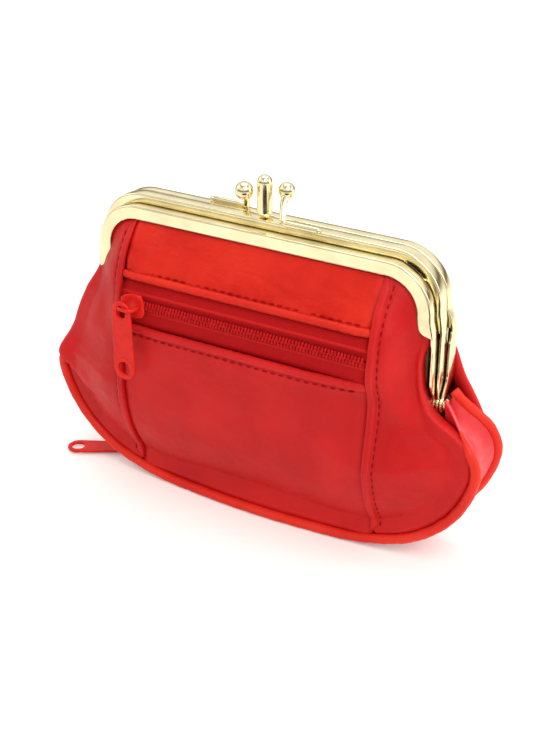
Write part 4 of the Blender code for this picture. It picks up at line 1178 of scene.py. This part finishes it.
def clasp(name, ball_at, ball_radius, bar_start, bar_way, extra):
    """A ball on a bent neck that grows out of a bar along the rail."""
    ball = sphere_mesh(f"{name}_ball", 48, 28, (ball_radius,) * 3, 0, ball_at)
    dress_mesh(ball, GOLD)
    bend = [a + (b - a) * 0.55 for a, b in zip(bar_start, ball_at)]
    bend[1] += extra
    neck = curve_through([bar_start, bend, ball_at], 16)
    taper = np.interp(np.linspace(0, 1, 16), (0, 0.3, 1.0), (1.0, 0.9, 1.15))
    bar_end = (bar_start[0] + bar_way * BAR_LENGTH, bar_start[1], bar_start[2])
    girth = BAR_RADIUS * np.sqrt(np.clip(1 - np.linspace(-0.96, 0.96, 20) ** 8, 0.05, 1))
    return join(name, [
        add_object(f"{name}_ball", ball),
        tube_piece(f"{name}_neck", neck, taper, GOLD, 20),
        tube_piece(f"{name}_bar", np.linspace(bar_start, bar_end, 20), girth, GOLD, 20),
    ])


place(post_piece("clasp_post_round"), "pouch", ["clasp_post"])
piece = clasp("front_clasp_round", FRONT_BALL, 2.3, (6.9, -2.9, 88.3), 1, -0.77)
place(piece, "front_flap", ["front_clasp"])
piece = clasp("back_clasp_round", BACK_BALL, 2.5, (-8.1, 4.0, 88.0), -1, 0.83)
place(piece, "back_flap", ["back_clasp"])


# Studio

DARK_PATCH = (0.127, -0.216, 0.0)
DARK = (0.02, 0.016, 0.012)
WORLD_BANDS = (
    (0.0, (1.0, 0.98, 0.94)), (0.48, (1.0, 0.98, 0.94)), (0.53, (0.24, 0.20, 0.14)),
    (0.585, (0.28, 0.24, 0.18)), (0.65, (1.20, 1.17, 1.10)), (0.72, (1.62, 1.60, 1.54)),
    (0.84, (1.50, 1.48, 1.42)), (0.93, (0.6, 0.59, 0.57)),
)


def stage_material(name, color):
    """A pale floor. Only glossy rays meet its dark patch, which stands for dark gear on a real set."""
    material, tree, shader, coords = new_material(name)
    rays = add_node(tree, "LightPath", {}).outputs
    reach = add_node(tree, "VectorMath", {0: coords, 1: DARK_PATCH}, operation="DISTANCE").outputs["Value"]
    patch = reckon(tree, "MULTIPLY", span(tree, reach, 0.12, 0.155, 1.0, 0.0), rays["Is Glossy Ray"])
    away = add_node(tree, "VectorMath", {0: coords}, operation="LENGTH").outputs["Value"]
    glow = reckon(tree, "MULTIPLY", rays["Is Camera Ray"], span(tree, away, 0.2, 1.0, 0.20, 0.75))
    feed(tree, shader, {
        "Base Color": ramp(tree, patch, ((0.0, color), (1.0, DARK))),
        "Roughness": 0.9,
        "Specular IOR Level": 0.1,
        "Emission Color": (1.0, 1.0, 0.985, 1.0),
        "Emission Strength": glow,
    })
    return material


def studio_world():
    """Light and dark bands for the metal to reflect, behind a white that only the camera sees."""
    world = bpy.data.worlds.new("studio")
    bpy.context.scene.world = world
    world.use_nodes = True
    tree = world.node_tree
    tree.nodes.clear()
    sky = add_node(tree, "TexCoord", {}).outputs["Generated"]
    height = add_node(tree, "SeparateXYZ", {"Vector": sky}).outputs["Z"]
    bands = ramp(tree, span(tree, height, -1.0, 1.0, 0.0, 1.0), WORLD_BANDS)
    soft = add_node(tree, "Background", {"Color": bands, "Strength": 0.62}).outputs["Background"]
    white = {"Color": (1.0, 1.0, 1.0, 1.0), "Strength": 1.0}
    clear = add_node(tree, "Background", white).outputs["Background"]
    seen = add_node(tree, "LightPath", {}).outputs["Is Camera Ray"]
    choose = add_node(tree, "MixShader", {0: seen, 1: soft, 2: clear}).outputs["Shader"]
    add_node(tree, "OutputWorld", {"Surface": choose})


def area_light(name, spot, target, size, power, color=(1, 1, 1)):
    light = bpy.data.lights.new(name, "AREA")
    light.shape = "RECTANGLE"
    light.size, light.size_y = size
    light.energy = power
    light.color = color
    obj = add_object(name, light)
    obj.location = spot
    obj.rotation_euler = (Vector(target) - Vector(spot)).to_track_quat("-Z", "Y").to_euler()


bpy.ops.mesh.primitive_plane_add(size=6.0, location=(0, 0, -0.0002))
floor = bpy.context.active_object
floor.name = "floor"
floor.data.materials.append(stage_material("white_floor", (0.93, 0.915, 0.89)))
studio_world()
area_light("key", (0.45, -0.35, 0.75), (0, 0, 0.05), (0.45, 0.45), 3.4, (1.0, 0.985, 0.96))
area_light("fill", (-0.75, -0.15, 0.35), (0, 0, 0.05), (0.5, 0.6), 0.7)
area_light("top", (-0.05, 0.15, 0.8), (0, 0, 0.05), (0.7, 0.5), 2.6)
area_light("side", (0.70, 0.30, 0.28), (0.05, 0, 0.04), (0.3, 0.4), 1.3, (1.0, 0.93, 0.96))


# Camera

CAMERA_SPOT = (0.164018, -0.278260, 0.216394)
CAMERA_RIGHT = (0.863647, 0.504071, -0.005174)
CAMERA_UP = (-0.237209, 0.415435, 0.878149)
CAMERA_BACK = (0.444799, -0.757183, 0.478359)
camera_data = bpy.data.cameras.new("camera")
camera = add_object("camera", camera_data)
camera.matrix_world = frame_matrix(CAMERA_SPOT, CAMERA_RIGHT, CAMERA_UP, CAMERA_BACK)
camera_data.sensor_fit = "VERTICAL"
camera_data.sensor_height = 36.0
camera_data.sensor_width = 36.0
camera_data.lens = 64.30
camera_data.shift_x = 0.00979
camera_data.shift_y = 0.0105
bpy.context.scene.camera = camera
bpy.context.scene.view_settings.view_transform = "Standard"
